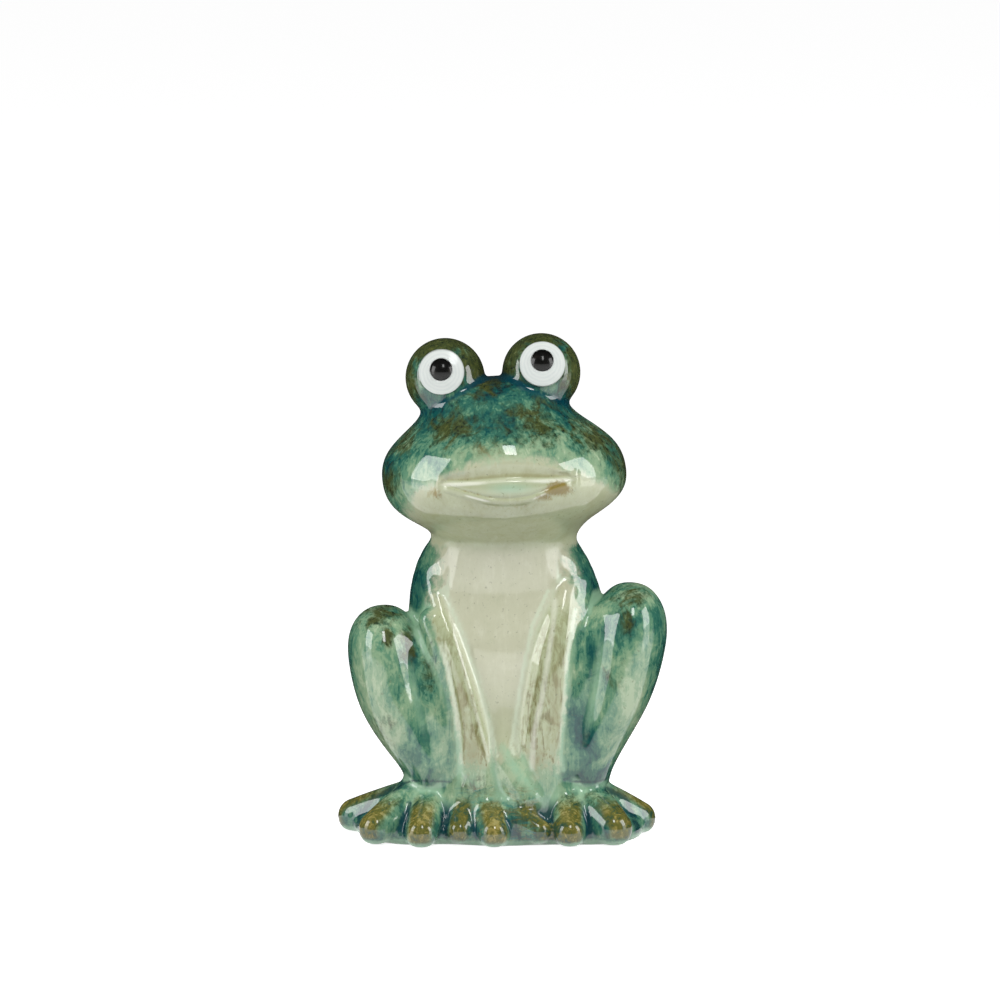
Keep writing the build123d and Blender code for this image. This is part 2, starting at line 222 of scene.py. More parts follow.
instepForm = {
    "spread": {"right": 38.5, "left": 35.5},
    # height, across as a share of the spread, along, half width, half depth
    "rows": (
        (-8.0, 1.00, -24.0, 16.6, 14.6), (0.0, 1.00, -24.0, 16.6, 14.6),
        (6.0, 0.98, -24.0, 16.2, 14.4), (15.6, 0.86, -23.8, 12.8, 12.4),
        (21.5, 0.795, -23.2, 10.8, 10.9), (28.0, 0.77, -22.6, 0.0, 0.0)),
}
# Toes: root point, tip point, then the radius at each of these shares of the length
toeShares = (0.0, 0.6, 1.0)
toeForms = {
    "right": (
        ((-31.0, -16.0, 15.6), (-58.8, -8.8, 5.9), (8.0, 7.8, 7.1)),
        ((-32.0, -23.0, 18.0), (-50.4, -40.6, 6.6), (7.4, 7.7, 6.9)),
        ((-28.5, -27.0, 17.0), (-32.4, -47.0, 5.8), (7.0, 7.0, 6.4)),
        ((-14.0, -33.0, 14.5), (-17.0, -43.8, 6.2), (5.4, 5.2, 4.8)),
        ((-7.0, -34.0, 14.5), (-3.4, -47.6, 5.8), (6.6, 6.4, 6.0)),
        ((2.0, -39.5, 12.0), (14.2, -45.4, 6.4), (5.2, 5.4, 5.0))),
    "left": (
        ((32.0, -17.0, 16.4), (54.4, -13.2, 5.7), (8.2, 7.9, 6.9)),
        ((31.0, -24.0, 18.5), (44.2, -42.1, 6.9), (8.2, 8.3, 7.5)),
        ((26.2, -29.0, 17.5), (26.8, -45.6, 5.8), (6.6, 6.6, 6.2))),
}
eyeForm = {
    "spread": 19.2, "lineShift": 1.9, "aboveCrown": 2.3, "forward": 12.0,
    "discRadius": 9.1, "discOverhang": 0.3, "shadowLineInset": 0.1,
    "right": {"sign": -1, "mound": 15.8, "lift": 0.0, "up": 17.0, "out": 7.0},
    "left": {"sign": 1, "mound": 15.6, "lift": -0.3, "up": 21.5, "out": 1.0},
}
drainHole = {"radius": 6.0, "back": 10.0, "depth": 9.0}
# How far neighbouring forms run into each other under the glaze
meltReach = {
    "neck": 5.0, "arm": 4.0, "knee": 9.0, "leg": 4.0, "inner": 6.0, "ankle": 1.6, "toe": 4.2,
    "mound": 3.6, "floor": 3.0, "seat": 1.2, "hole": 1.2, "belly": 9.0, "plinth": 7.0,
    "shoulder": 8.0, "web": 3.0,
}
sideSign = {"right": -1, "left": 1}
tiny = 1e-9     # keeps divisions from zero


def springCurve(at, values):
    # a curve through the table whose bend never jumps, so highlights stay clean
    at, values = np.array(at, float), np.array(values, float)
    step = np.diff(at)
    rise = np.diff(values) / step
    count = len(at)
    system, wanted = np.zeros((count, count)), np.zeros(count)
    for i in range(1, count - 1):
        system[i, i - 1], system[i, i + 1] = step[i - 1], step[i]
        system[i, i] = 2 * (step[i - 1] + step[i])
        wanted[i] = 6 * (rise[i] - rise[i - 1])
    system[0, 0], system[0, 1] = 1, -1
    system[-1, -1], system[-1, -2] = 1, -1
    bend = np.linalg.solve(system, wanted)

    def read(where):
        held = np.clip(where, at[0], at[-1])
        cell = np.clip(np.searchsorted(at, held) - 1, 0, count - 2)
        width = step[cell]
        b = (held - at[cell]) / width
        a = 1 - b
        value = a * values[cell] + b * values[cell + 1] + (
            (a ** 3 - a) * bend[cell] + (b ** 3 - b) * bend[cell + 1]) * width ** 2 / 6
        slope = rise[cell] - (3 * a ** 2 - 1) / 6 * width * bend[cell] + (
            3 * b ** 2 - 1) / 6 * width * bend[cell + 1]
        return value + (where - held) * slope
    return read


def stackField(rows):
    # rows of height, across, along, half width and half depth; a width of 0 closes an end
    at, across, along, width, depth = (np.array(column, float) for column in zip(*rows))
    flat = np.where(width > 0, width / np.where(depth > 0, depth, 1), np.nan)
    good = ~np.isnan(flat)
    flat = np.interp(at, at[good], flat[good])
    readAcross, readAlong = springCurve(at, across), springCurve(at, along)
    readFlat, readSquare = springCurve(at, flat), springCurve(at, width ** 2)

    def level(p, lift=0.0):
        z = p[:, 2] + lift
        ratio = readFlat(z)
        x = p[:, 0] - readAcross(z)
        y = (p[:, 1] - readAlong(z)) * ratio
        return x, y, ratio, x * x + y * y - readSquare(z)

    def distance(p):
        x, y, ratio, value = level(p)
        probe, least = 0.2, 1e-3
        climb = (level(p, probe)[3] - level(p, -probe)[3]) / (2 * probe)
        pull = np.sqrt(4 * x * x + 4 * (y * ratio) ** 2 + climb ** 2 + least)
        return value / pull
    low = (min(across - width), min(along - depth), at[0])
    high = (max(across + width), max(along + depth), at[-1])
    return nearOnly(distance, low, high)


def digitField(root, tip, radii):
    root, tip = np.array(root), np.array(tip)
    axis = tip - root
    length = float(axis @ axis)
    readRadius = springCurve(toeShares, radii)

    def distance(p):
        share = np.clip((p - root) @ axis / length, 0, 1)
        away = p - root - share[:, None] * axis
        return np.sqrt((away ** 2).sum(1)) - readRadius(share)
    return nearOnly(distance, np.minimum(root, tip), np.maximum(root, tip))


def ballField(centre, radius):
    centre = np.array(centre)
    return lambda p: np.sqrt(((p - centre) ** 2).sum(1)) - radius


def threadField(rows, runs=5):
    # a roll along a springy line through the rows: across, along, up, radius
    rows = np.array(rows, float)
    at = np.arange(len(rows))
    fine = np.linspace(0, len(rows) - 1, (len(rows) - 1) * runs + 1)
    rows = np.stack([springCurve(at, column)(fine) for column in rows.T], 1)

    def distance(p):
        nearest = np.full(len(p), np.inf)
        for start, end in zip(rows[:-1], rows[1:]):
            axis = end[:3] - start[:3]
            share = np.clip((p - start[:3]) @ axis / float(axis @ axis), 0, 1)
            away = p - start[:3] - share[:, None] * axis
            radius = start[3] + share * (end[3] - start[3])
            nearest = np.minimum(nearest, np.sqrt((away ** 2).sum(1)) - radius)
        return nearest
    return nearOnly(distance, rows[:, :3].min(0), rows[:, :3].max(0))


def nearOnly(field, low, high, margin=14.0, farAway=60.0):
    # a form far away says only that it is far away, which saves most of the work
    low, high = np.array(low) - margin, np.array(high) + margin

    def distance(p):
        result = np.full(len(p), farAway)
        close = ((p > low) & (p < high)).all(1)
        if close.any():
            result[close] = field(p[close])
        return result
    return distance


def placedField(field, place):
    turn = np.array(place.inverted())

    def distance(p):
        return field(p @ turn[:3, :3].T + turn[:3, 3])
    return distance


def melt(first, second, reach):
    overlap = np.clip(reach - np.abs(first - second), 0, None) / reach
    return np.minimum(first, second) - overlap ** 3 * reach / 6


def carve(first, second, reach):
    return -melt(-first, second, reach)


headPivot = Matrix.Translation((0, 0, bodyForm["height"] + mouthForm["rise"]))
headTilt = (
    headPivot @ Matrix.Rotation(math.radians(-headForm["roll"]), 4, "Y")
    @ Matrix.Rotation(math.radians(headForm["turn"]), 4, "Z") @ headPivot.inverted())


def bodyRows():
    form = bodyForm
    rows = []
    for height, width, front, back in form["rows"]:
        ahead, behind = form["front"] * front, form["back"] * back
        rows.append((
            form["height"] * height, 0.0, (behind - ahead) / 2,
            form["halfWidth"] * width, (behind + ahead) / 2))
    rows.append((form["height"] * form["topEnd"], 0.0, rows[-1][2], 0.0, 0.0))
    return rows


def headRows():
    form = headForm
    low, tall = bodyForm["height"] - form["tuck"], form["height"] + form["tuck"]
    rows = []
    for height, width, front, back, shift in form["rows"]:
        ahead, behind = form["front"] * front, form["back"] * back
        rows.append((
            low + tall * height, shift, (behind - ahead) / 2,
            form["halfWidth"] * width, (behind + ahead) / 2))
    rows.insert(0, (low + tall * form["bottomEnd"], 0.0, rows[0][2], 0.0, 0.0))
    rows.append((
        low + tall + form["crownLift"], form["crownShift"],
        -form["front"] * form["crownForward"], 0, 0))
    return rows


def limbRows(side, rows, base, top, spread, lead, halfWidth, halfDepth):
    return [(
        base + (top - base) * height, sideSign[side] * spread * out, -lead * forward,
        halfWidth * width, halfDepth * depth) for height, out, forward, width, depth in rows]


def shinStack(side):
    form, own = shinForm, shinForm[side]
    leg = limbRows(
        side, own["rows"], form["ankle"], own["knee"], own["spread"], form["forward"],
        form["halfWidth"], form["halfDepth"])
    more = form["deepen"]
    leg = [(z, x, y + (more - 1) * depth, width, more * depth) for z, x, y, width, depth in leg]
    z, x, y, width, depth = leg[0]
    sole = [(height, x, y, share * width, share * depth) for height, share in form["sole"]]
    return sole + leg + [(own["knee"], sideSign[side] * own["spread"], leg[-1][2], 0.0, 0.0)]


def footStack(side):
    spread = sideSign[side] * instepForm["spread"][side]
    return [
        (z, spread * out, y, width, depth) for z, out, y, width, depth in instepForm["rows"]]


def haunchStack(side):
    form, knee = haunchForm, shinForm[side]["knee"]
    rows = limbRows(
        side, form["rows"], form["base"], knee, form["spread"][side], form["forward"],
        form["halfWidth"], form["halfDepth"])
    first = (form["base"], rows[0][1], rows[0][2], 0.0, 0.0)
    last = (knee - form["underKnee"], rows[-1][1], rows[-1][2], 0.0, 0.0)
    return [first] + rows + [last]


def eyePlace(side):
    own = eyeForm[side]
    across = own["sign"] * eyeForm["spread"] - eyeForm["lineShift"]
    height = bodyForm["height"] + headForm["height"] + eyeForm["aboveCrown"] + own["lift"]
    return (
        headTilt @ Matrix.Translation((across, -eyeForm["forward"], height))
        @ Matrix.Rotation(math.radians(own["sign"] * own["out"]), 4, "Z")
        @ Matrix.Rotation(math.radians(90 - own["up"]), 4, "X"))


def discStand(side):
    seat = eyeForm["discRadius"] - eyeForm["discOverhang"]
    return math.sqrt(eyeForm[side]["mound"] ** 2 - seat ** 2)


def smoothStep(low, high, value):
    share = np.clip((value - low) / (high - low), 0, 1)
    return share * share * (3 - 2 * share)


def mouthLines(x):
    # how high the brow, the upper edge and the lower lip lie at each place across
    return [
        springCurve(*zip(*mouthForm[name]))(x) for name in ("browLine", "topLine", "lowLine")]


def mouthRelief(p):
    # how far the face stands out or in round the closed mouth
    form = mouthForm
    (right, left), (beside, front, floor, roof) = form["corners"], form["reliefBox"]
    result = np.zeros(len(p))
    near = (p[:, 1] < front) & (p[:, 2] > floor) & (p[:, 2] < roof)
    near &= (p[:, 0] > right - beside) & (p[:, 0] < left + beside)
    if not near.any():
        return result
    x, z = p[near, 0], p[near, 2]
    brow, top, low = mouthLines(x)
    ease, (out, back) = form["cornerEase"], form["sideFade"]
    inside = smoothStep(right, right + ease, x) * smoothStep(left, left - ease, x)
    wide = smoothStep(right - out, right + back, x) * smoothStep(left + out, left - back, x)
    start, full = form["browFade"]
    swell = form["browSwell"] * smoothStep(brow + start, brow + full, z) * wide
    start, full = form["foldFade"]
    fold = smoothStep(brow + start, top + full, z)
    upper = swell - (form["fold"] + form["browSwell"]) * fold * inside
    below, above = top - z, z - low
    ledge = smoothStep(*form["ledgeFade"], below)
    swelling = np.clip(below / np.maximum(top - low, 1), 0, 1)
    lens = form["lensStand"] + form["lensSwell"] * np.sin(math.pi * swelling)
    seam = np.exp(-((above - form["seamUp"]) / form["seamWidth"]) ** 2) * form["seam"]
    rim = form["rimStand"] * smoothStep(*form["rimBelow"], above)
    rim *= smoothStep(*form["rimAbove"], above)
    body = lens * smoothStep(*form["lensFade"], above)
    face = -form["fold"] * (1 - ledge) + ledge * (body + rim - seam)
    hollow = np.exp(-((above + form["hollowDown"]) / form["hollowWidth"]) ** 2)
    under = rim - form["underHollow"] * hollow
    mouth = np.where(z > top, upper, inside * np.where(z > low, face, under))
    for across, up, sizeX, sizeZ, height in form["cornerFolds"]:
        mouth += height * np.exp(-((x - across) / sizeX) ** 2 - ((z - up) / sizeZ) ** 4)
    result[near] = mouth
    return result


def makeFields():
    head = placedField(stackField(headRows()), headTilt)
    fields = {
        "body": stackField(bodyRows()), "head": head, "belly": stackField(bellyForm["rows"]),
        "plinth": threadField(plinthForm), "webmiddle": threadField(webForm["middle"], 3)}
    for side in sideSign:
        fields["arm" + side] = stackField(armForm[side])
        for name, rows in (
                ("web", webForm[side]), ("inner", webForm[side + "Inner"]),
                ("shoulder", shoulderForm[side])):
            fields[name + side] = threadField(rows, 3)
        fields["shin" + side] = stackField(shinStack(side))
        fields["foot" + side] = stackField(footStack(side))
        fields["haunch" + side] = stackField(haunchStack(side))
        fields["toes" + side] = [digitField(*toe) for toe in toeForms[side]]
        place = eyePlace(side)
        fields["mound" + side] = ballField(place.translation, eyeForm[side]["mound"])
        look = np.array(place.to_3x3() @ Vector((0, 0, 1)))
        seat = np.array(place.translation) + look * discStand(side)
        fields["seat" + side] = (seat, look)
    return fields


fields = makeFields()


def skinDistance(p):
    reach = meltReach
    head = fields["head"](p) - mouthRelief(p)
    skin = melt(fields["body"](p), fields["belly"](p), reach["belly"])
    skin = melt(skin, fields["webmiddle"](p), reach["web"])
    skin = melt(skin, head, reach["neck"])
    for side in sideSign:
        skin = melt(skin, fields["shoulder" + side](p), reach["shoulder"])
        arm = melt(fields["arm" + side](p), fields["web" + side](p), reach["web"])
        skin = melt(skin, arm, reach["arm"])
        leg = melt(fields["shin" + side](p), fields["haunch" + side](p), reach["knee"])
        leg = melt(leg, fields["inner" + side](p), reach["inner"])
        leg = melt(leg, fields["foot" + side](p), reach["ankle"])
        skin = melt(skin, leg, reach["leg"])
        seat, look = fields["seat" + side]
        mound = carve(fields["mound" + side](p), -((p - seat) @ look), reach["seat"])
        skin = melt(skin, mound, reach["mound"])
    skin = melt(skin, fields["plinth"](p), reach["plinth"])
    for side in sideSign:
        for toe in fields["toes" + side]:
            skin = melt(skin, toe(p), reach["toe"])
    skin = carve(skin, p[:, 2], reach["floor"])
    hole = np.maximum(
        np.hypot(p[:, 0], p[:, 1] - drainHole["back"]) - drainHole["radius"],
        p[:, 2] - drainHole["depth"])
    return carve(skin, hole, reach["hole"])


# A rough figure from plain blobs, voxel remeshed and then drawn onto the forms
skinMaking = {
    "roughVoxel": 2.4, "fineVoxel": 1.2, "sides": 28, "ballCuts": 3,
    # how far blobs lap, the thinnest one, and the lowest height of all
    "lap": 0.4, "thinnest": 0.6, "lowest": 0.2,
    # balls: how much fatter or thinner than the form, and how far back
    "plinthMore": 2.0, "plinthShare": 0.9, "webMore": 1.0, "webBack": 3.0, "moundLess": 1.0,
    "toeLess": 0.3, "toeBalls": 7,
    "roughRounds": 7, "fineRounds": 4, "cutRounds": 3, "mouthCuts": 2,
    "longestStep": 2.5, "flattest": 0.05, "evening": 0.6, "probe": 0.12,
}


def addStackBlob(mesh, rows):
    lap, thinnest = skinMaking["lap"], skinMaking["thinnest"]
    for low, high in zip(rows[:-1], rows[1:]):
        made = bmesh.ops.create_cone(
            mesh, cap_ends=True, segments=skinMaking["sides"], radius1=1, radius2=1, depth=2)
        for vertex in made["verts"]:
            under = vertex.co.z < 0
            z, across, along, width, depth = low if under else high
            vertex.co = Vector((
                across + vertex.co.x * max(width, thinnest),
                along + vertex.co.y * max(depth, thinnest),
                max(z - lap if under else z + lap, 0.0)))


def addBall(mesh, centre, radius):
    bmesh.ops.create_icosphere(
        mesh, subdivisions=skinMaking["ballCuts"], radius=radius,
        matrix=Matrix.Translation(centre))


def roughFigure():
    plan = skinMaking
    mesh = bmesh.new()
    addStackBlob(mesh, [row for row in bodyRows() if row[0] >= 0])
    addStackBlob(mesh, bellyForm["rows"])
    for across, along, up, radius in plinthForm:
        addBall(mesh, (across, along * plan["plinthShare"], up), radius + plan["plinthMore"])
    for rows in webForm.values():
        for start, end in zip(rows[:-1], rows[1:]):
            for share in (0.0, 0.5):
                spot = Vector(start).lerp(Vector(end), share)
                centre = (spot.x, spot.y + plan["webBack"], spot.z)
                addBall(mesh, centre, spot.w + plan["webMore"])
    for side in sideSign:
        addStackBlob(mesh, [row for row in armForm[side] if row[0] >= 0])
        addStackBlob(mesh, shinStack(side))
        addStackBlob(mesh, [row for row in footStack(side) if row[0] >= 0])
        addStackBlob(mesh, haunchStack(side))
        addBall(mesh, eyePlace(side).translation, eyeForm[side]["mound"] - plan["moundLess"])
        for root, tip, radii in toeForms[side]:
            for step in range(plan["toeBalls"]):
                share = step / (plan["toeBalls"] - 1)
                spot = Vector(root).lerp(Vector(tip), share)
                radius = radii[0] * (1 - share) + radii[2] * share
                addBall(mesh, spot, radius - plan["toeLess"])
    before = set(mesh.verts)
    addStackBlob(mesh, headRows())
    headVerts = [vertex for vertex in mesh.verts if vertex not in before]
    bmesh.ops.transform(mesh, matrix=headTilt, verts=headVerts)
    for vertex in mesh.verts:
        vertex.co.z = max(vertex.co.z, plan["lowest"])
    return mesh


def remeshed(mesh, voxel):
    data = meshData("skinStep", mesh)
    thing = intoScene("skinStep", data)
    modifier = thing.modifiers.new("even", "REMESH")
    modifier.mode = "VOXEL"
    modifier.voxel_size = voxel
    bpy.context.view_layer.update()
    graph = bpy.context.evaluated_depsgraph_get()
    result = bpy.data.meshes.new_from_object(thing.evaluated_get(graph))
    bpy.data.objects.remove(thing)
    bpy.data.meshes.remove(data)
    return result


def pointsOf(data):
    points = np.empty(len(data.vertices) * 3)
    data.vertices.foreach_get("co", points)
    return points.reshape(-1, 3)


def edgesOf(data):
    edges = np.empty(len(data.edges) * 2, dtype=np.int64)
    data.edges.foreach_get("vertices", edges)
    return edges.reshape(-1, 2)


def neighbourMean(points, edges):
    total = np.zeros_like(points)
    count = np.bincount(edges.ravel(), minlength=len(points)).astype(float)
    for axis in range(points.shape[1]):
        total[:, axis] = (
            np.bincount(edges[:, 0], points[edges[:, 1], axis], len(points))
            + np.bincount(edges[:, 1], points[edges[:, 0], axis], len(points)))
    return total / np.maximum(count, 1)[:, None]


fourWays = np.array(((1, -1, -1), (-1, -1, 1), (-1, 1, -1), (1, 1, 1)), float)


def slopeOf(points):
    probe = skinMaking["probe"]
    slope, value = np.zeros_like(points), np.zeros(len(points))
    for way in fourWays:
        found = skinDistance(points + probe * way)
        slope += found[:, None] * way / (4 * probe)
        value += found / 4
    return slope, value


def drawnOn(points, edges, rounds):
    for turn in range(rounds):
        slope, value = slopeOf(points)
        size = (slope ** 2).sum(1)
        step = -(value / np.maximum(size, skinMaking["flattest"]))[:, None] * slope
        length = np.sqrt((step ** 2).sum(1))
        step *= np.minimum(1, skinMaking["longestStep"] / np.maximum(length, tiny))[:, None]
        points = points + step
        if turn < rounds - 1:
            normal = slope / np.sqrt(np.maximum(size, tiny))[:, None]
            drift = neighbourMean(points, edges) - points
            drift -= (drift * normal).sum(1)[:, None] * normal
            points = points + skinMaking["evening"] * drift
    return points


def drawSkin(data, rounds):
    points = drawnOn(pointsOf(data), edgesOf(data), rounds)
    data.vertices.foreach_set("co", points.ravel())
    data.update()
    return data


def mouthCut(data):
    # halves the edges round the mouth, and draws the new points on
    (right, left), (beside, front, floor, roof) = mouthForm["corners"], mouthForm["fineBox"]
    mesh = bmesh.new()
    mesh.from_mesh(data)
    chosen = [edge for edge in mesh.edges if all(
        right - beside < v.co.x < left + beside and v.co.y < front and floor < v.co.z < roof
        for v in edge.verts)]
    bmesh.ops.subdivide_edges(mesh, edges=chosen, cuts=1, use_grid_fill=True)
    mesh.to_mesh(data)
    mesh.free()
    return drawSkin(data, skinMaking["cutRounds"])


def makeSkin():
    rough = remeshed(roughFigure(), skinMaking["roughVoxel"])
    drawSkin(rough, skinMaking["roughRounds"])
    mesh = bmesh.new()
    mesh.from_mesh(rough)
    bpy.data.meshes.remove(rough)
    fine = remeshed(mesh, skinMaking["fineVoxel"])
    drawSkin(fine, skinMaking["fineRounds"])
    for step in range(skinMaking["mouthCuts"]):
        fine = mouthCut(fine)
    print("skin", len(fine.vertices), "points", len(fine.polygons), "faces")
    return fine


def bendAt(points, reach):
    # how strongly the surface bends out (above 0) or in (below 0) at a given breadth
    total = np.zeros(len(points))
    for axis in range(3):
        shift = np.zeros(3)
        shift[axis] = reach
        total += skinDistance(points + shift) + skinDistance(points - shift)
    return total / reach ** 2 - 6 * skinDistance(points) / reach ** 2


def setAttribute(data, name, values):
    layer = data.attributes.new(name, "FLOAT", "POINT")
    layer.data.foreach_set("value", values.astype(np.float32))


def softSpots(points, spots):
    # across, along, up, three half sizes and a strength; the strongest one counts
    found = np.zeros(len(points))
    for x, y, z, sizeX, sizeY, sizeZ, strength in spots:
        away = (points - (x, y, z)) / (sizeX, sizeY, sizeZ)
        found = np.maximum(found, strength * np.exp(-(away ** 2).sum(1)))
    return found


# Where each glaze was laid on, in millimetres: across, along, up, half sizes, strength
glazeSpots = {
    "deep": (
        (-30, -25, 172, 16, 28, 13, 1.0), (-4, -22, 183, 30, 28, 13, 1.0),
        (24, -22, 174, 16, 28, 12, 0.95), (-4, -44, 169, 30, 18, 9, 0.9),
        (-47, -15, 150, 9, 36, 20, 0.9), (48, -10, 156, 10, 30, 14, 0.85),
        (-32, -38, 158, 10, 16, 8, 0.5), (30, -38, 162, 8, 16, 7, 0.6),
        (-24, -12, 188, 20, 18, 20, 0.85), (20, -12, 190, 20, 18, 20, 0.85),
        (-34, -8, 104, 11, 20, 20, 0.85), (35, -8, 104, 11, 20, 20, 0.75),
        (-32, -36, 40, 7, 14, 16, 0.8), (-29, -36, 62, 3.5, 14, 16, 0.6),
        # these two are painted shade: the dark streak along the right shin where it turns away
        # from the lamps
        (-36, -30, 72, 3, 12, 14, 0.8), (-33, -32, 56, 3, 12, 12, 0.8),
        (33, -37, 44, 7, 14, 18, 0.95), (36, -37, 74, 7, 14, 18, 0.6),
        (63, -14, 62, 6, 22, 34, 0.9), (-63, -14, 62, 5, 22, 34, 0.8),
        (-36, -30, 26, 14, 16, 5, 0.8), (36, -30, 26, 14, 16, 6, 0.9),
        (-46, -34, 68, 8, 10, 12, 0.35), (50, -34, 88, 9, 10, 14, 0.5),
        (0, -42, 12, 22, 12, 8, 0.35), (-56, -20, 12, 12, 14, 8, 0.4),
        (50, -30, 12, 14, 14, 8, 0.4)),
    "olive": (
        (-20, -38, 169, 14, 16, 10, 0.78), (15, -40, 170, 16, 16, 10, 0.82),
        (37, -25, 163, 15, 18, 10, 0.9), (-42, -20, 162, 12, 18, 11, 0.75),
        (48, -15, 152, 9, 20, 14, 0.9), (-47, -28, 144, 8, 16, 12, 0.75),
        (48, -20, 138, 7, 14, 8, 0.6), (-4, -46, 163, 20, 14, 5, 0.45),
        (-9, -12, 190, 10, 20, 17, 1.7), (-28, -12, 200, 17, 20, 11, 1.6),
        (-39, -12, 184, 8, 20, 14, 1.3), (34, -12, 188, 10, 20, 18, 1.7),
        (16, -12, 204, 18, 20, 9, 1.5), (5, -12, 191, 7, 20, 12, 1.2),
        (-10, -44, 24, 12, 12, 6, 0.5), (8, -46, 14, 9, 12, 5, 0.6),
        (-50, -26, 91, 9, 16, 6, 0.95), (-37, -34, 82, 4, 12, 12, 0.9),
        (-46, -34, 84, 3, 10, 5, 0.9), (52, -30, 98, 9, 16, 6, 0.75),
        (50, -34, 90, 3, 10, 8, 0.8), (-30, -36, 70, 5, 12, 14, 0.6),
        (-48, -34, 46, 8, 12, 12, 0.35), (44, -34, 70, 6, 12, 10, 0.35),
        (12, -44, 10, 7, 10, 6, 0.9), (26, -42, 12, 6, 10, 7, 0.7),
        (-44, -34, 13, 5, 10, 5, 0.6), (36, -34, 15, 6, 10, 5, 0.7)),
    "brown": (
        (22.0, -48, 144.8, 5.6, 10, 3.2, 1.6), (-27, -45, 143, 3, 8, 3, 0.9),
        (4, -54, 138, 16, 8, 1.6, 0.5), (17, -50, 141.4, 5, 8, 2, 0.9)),
    "tan": (
        (-17, -38, 52, 4, 10, 20, 0.85), (21, -38, 56, 4, 10, 26, 0.7),
        (-12, -38, 38, 6, 10, 10, 0.8), (13, -38, 34, 5, 10, 10, 0.7),
        (-6, -50, 160, 26, 14, 5, 0.4), (40, -46, 138, 14, 14, 10, 0.45),
        (-26, -30, 104, 6, 14, 14, 0.3), (24, -30, 104, 6, 14, 12, 0.45)),
    "pale": (
        (-46, -34, 44, 8, 16, 14, 0.8), (-51, -30, 62, 8, 16, 12, 0.7),
        (-26, -36, 44, 3, 14, 22, 0.7), (52, -32, 60, 7, 14, 14, 0.8),
        (44, -45, 138, 9, 30, 12, 0.7), (-38, -45, 136, 10, 30, 10, 0.5),
        (0, -50, 160, 24, 14, 5, 0.8), (4, -46, 28, 22, 14, 10, 0.9),
        (-34, -36, 30, 8, 14, 5, 0.5)),
}
# Lines of glaze, and white lines of painted highlight down the front legs: width, strength,
# then points across and up in a picture plane in front
glazeAndHighlightLines = {
    # painted highlights along the front legs, where the lamps' reflections run down them
    "white": (
        (1.0, 0.45, (
            (-21.8, 90.0), (-19.0, 79.0), (-14.6, 59.0), (-9.8, 43.0), (-5.8, 29.5))),
        (1.5, 0.6, (
            (21.0, 91.0), (19.8, 79.0), (17.4, 63.0), (15.4, 51.0), (12.6, 39.0),
            (11.6, 24.0)))),
    "crease": (
        (0.9, 1.0, (
            (-21.2, 89.5), (-15.0, 75.0), (-9.0, 55.0), (-3.8, 37.0), (-2.2, 29.0))),
        (0.9, 1.0, (
            (18.2, 95.0), (11.8, 81.0), (8.2, 63.0), (5.0, 43.0), (3.4, 33.0), (4.6, 30.0))),
        (1.0, 1.0, ((-25.0, 73.0), (-22.2, 65.0), (-19.4, 51.0), (-17.8, 33.0), (-17.4, 21.0))),
        (1.0, 1.0, ((29.0, 87.0), (26.2, 71.0), (24.6, 51.0), (23.4, 31.0), (24.2, 23.0)))),
    "dark": (
        (0.6, 0.9, ((-40.4, 17.6), (-36.0, 19.0), (-28.0, 19.2), (-20.6, 19.0))),
        (0.6, 0.9, ((24.4, 19.6), (30.0, 18.8), (38.0, 18.6), (43.0, 20.6))),
        (1.3, 1.0, ((-40.6, 17.0), (-51.8, 11.8), (-57.0, 5.0), (-58.2, -0.4))),
        (1.2, 0.9, ((-37.0, 10.0), (-38.6, 3.0), (-39.0, -2.6))),
        (1.1, 0.9, ((-24.0, 6.0), (-23.0, -1.0), (-22.6, -4.0))),
        (1.0, 0.7, ((-11.0, 4.0), (-10.0, -3.0))),
        (1.1, 0.8, ((4.6, 3.4), (7.0, -4.0))),
        (1.1, 0.7, ((19.8, 4.0), (20.2, -4.0))),
        (1.2, 0.8, ((34.0, 6.0), (35.0, -4.0))),
        (1.4, 1.0, ((41.6, 15.4), (49.2, 12.0), (52.0, 5.2), (54.4, -2.0)))),
    "band": (
        (2.4, 0.7, ((0.0, 32.0), (4.0, 26.0), (10.0, 18.0), (16.4, 9.6))),
        (1.8, 0.6, ((16.4, 9.6), (18.6, 0.0)))),
}
# How far across the cream glaze reaches at each height
creamEdge = {
    "right": (
        (20.0, 17.6), (38.0, 18.0), (56.0, 19.6), (70.0, 22.4), (79.0, 25.6), (95.0, 28.0),
        (110.0, 25.0)),
    "left": (
        (20.0, 24.2), (36.0, 23.6), (56.0, 24.8), (76.0, 26.6), (92.0, 30.0), (110.0, 26.0)),
}
# How far across the inner edge of each front leg runs at each height
armEdge = {
    "right": ((35.0, -2.2), (43.0, -3.8), (61.0, -9.0), (80.0, -15.0), (94.0, -21.4)),
    "left": ((38.0, 3.4), (48.0, 5.0), (68.0, 8.2), (86.0, 11.8), (97.0, 18.0)),
}
# Where each glaze starts and where it is full: heights, depths, breadths or slopes
glazeFade = {
    "facing": (-0.1, 0.6), "softening": (78, 98),
    "torsoFoot": (14, 62), "torsoTop": (130, 124), "torsoSide": (-10, -20),
    "chinTop": (-2, 9), "chinFoot": (114, 120), "chinFacing": (-0.1, 0.3),
    "chinRight": (-46, -28), "chinLeft": (54, 38), "chinShade": (150, 138),
    "low": (20, 12), "crown": (164, 169), "rear": (-8, 14),
    "muzzle": (-36, -40), "seamRight": (1, -8), "ledgeHighlightEnds": (6, 16),
    "lipFront": (-40, -44), "lipFoot": (132, 137), "lipTop": (160, 156),
    "foot": (24, 12), "footFront": (0, -10), "tipAlong": (0.15, 0.6), "tipTop": (-5.5, -1.5),
    "front": (0.05, 0.3), "frontDepth": (2, -8),
    "armSide": (0.5, 3.5), "armTop": (104, 88), "armFront": (-10, -18), "strawTop": (74, 40),
    "fibreArm": (60, 90), "fibreTop": (60, 40),
    "palmTop": (28, 22), "palmFront": (-14, -26), "palmSide": (20, 15),
    "rimTop": (4.2, 1.6), "rimFront": (6, -6),
}
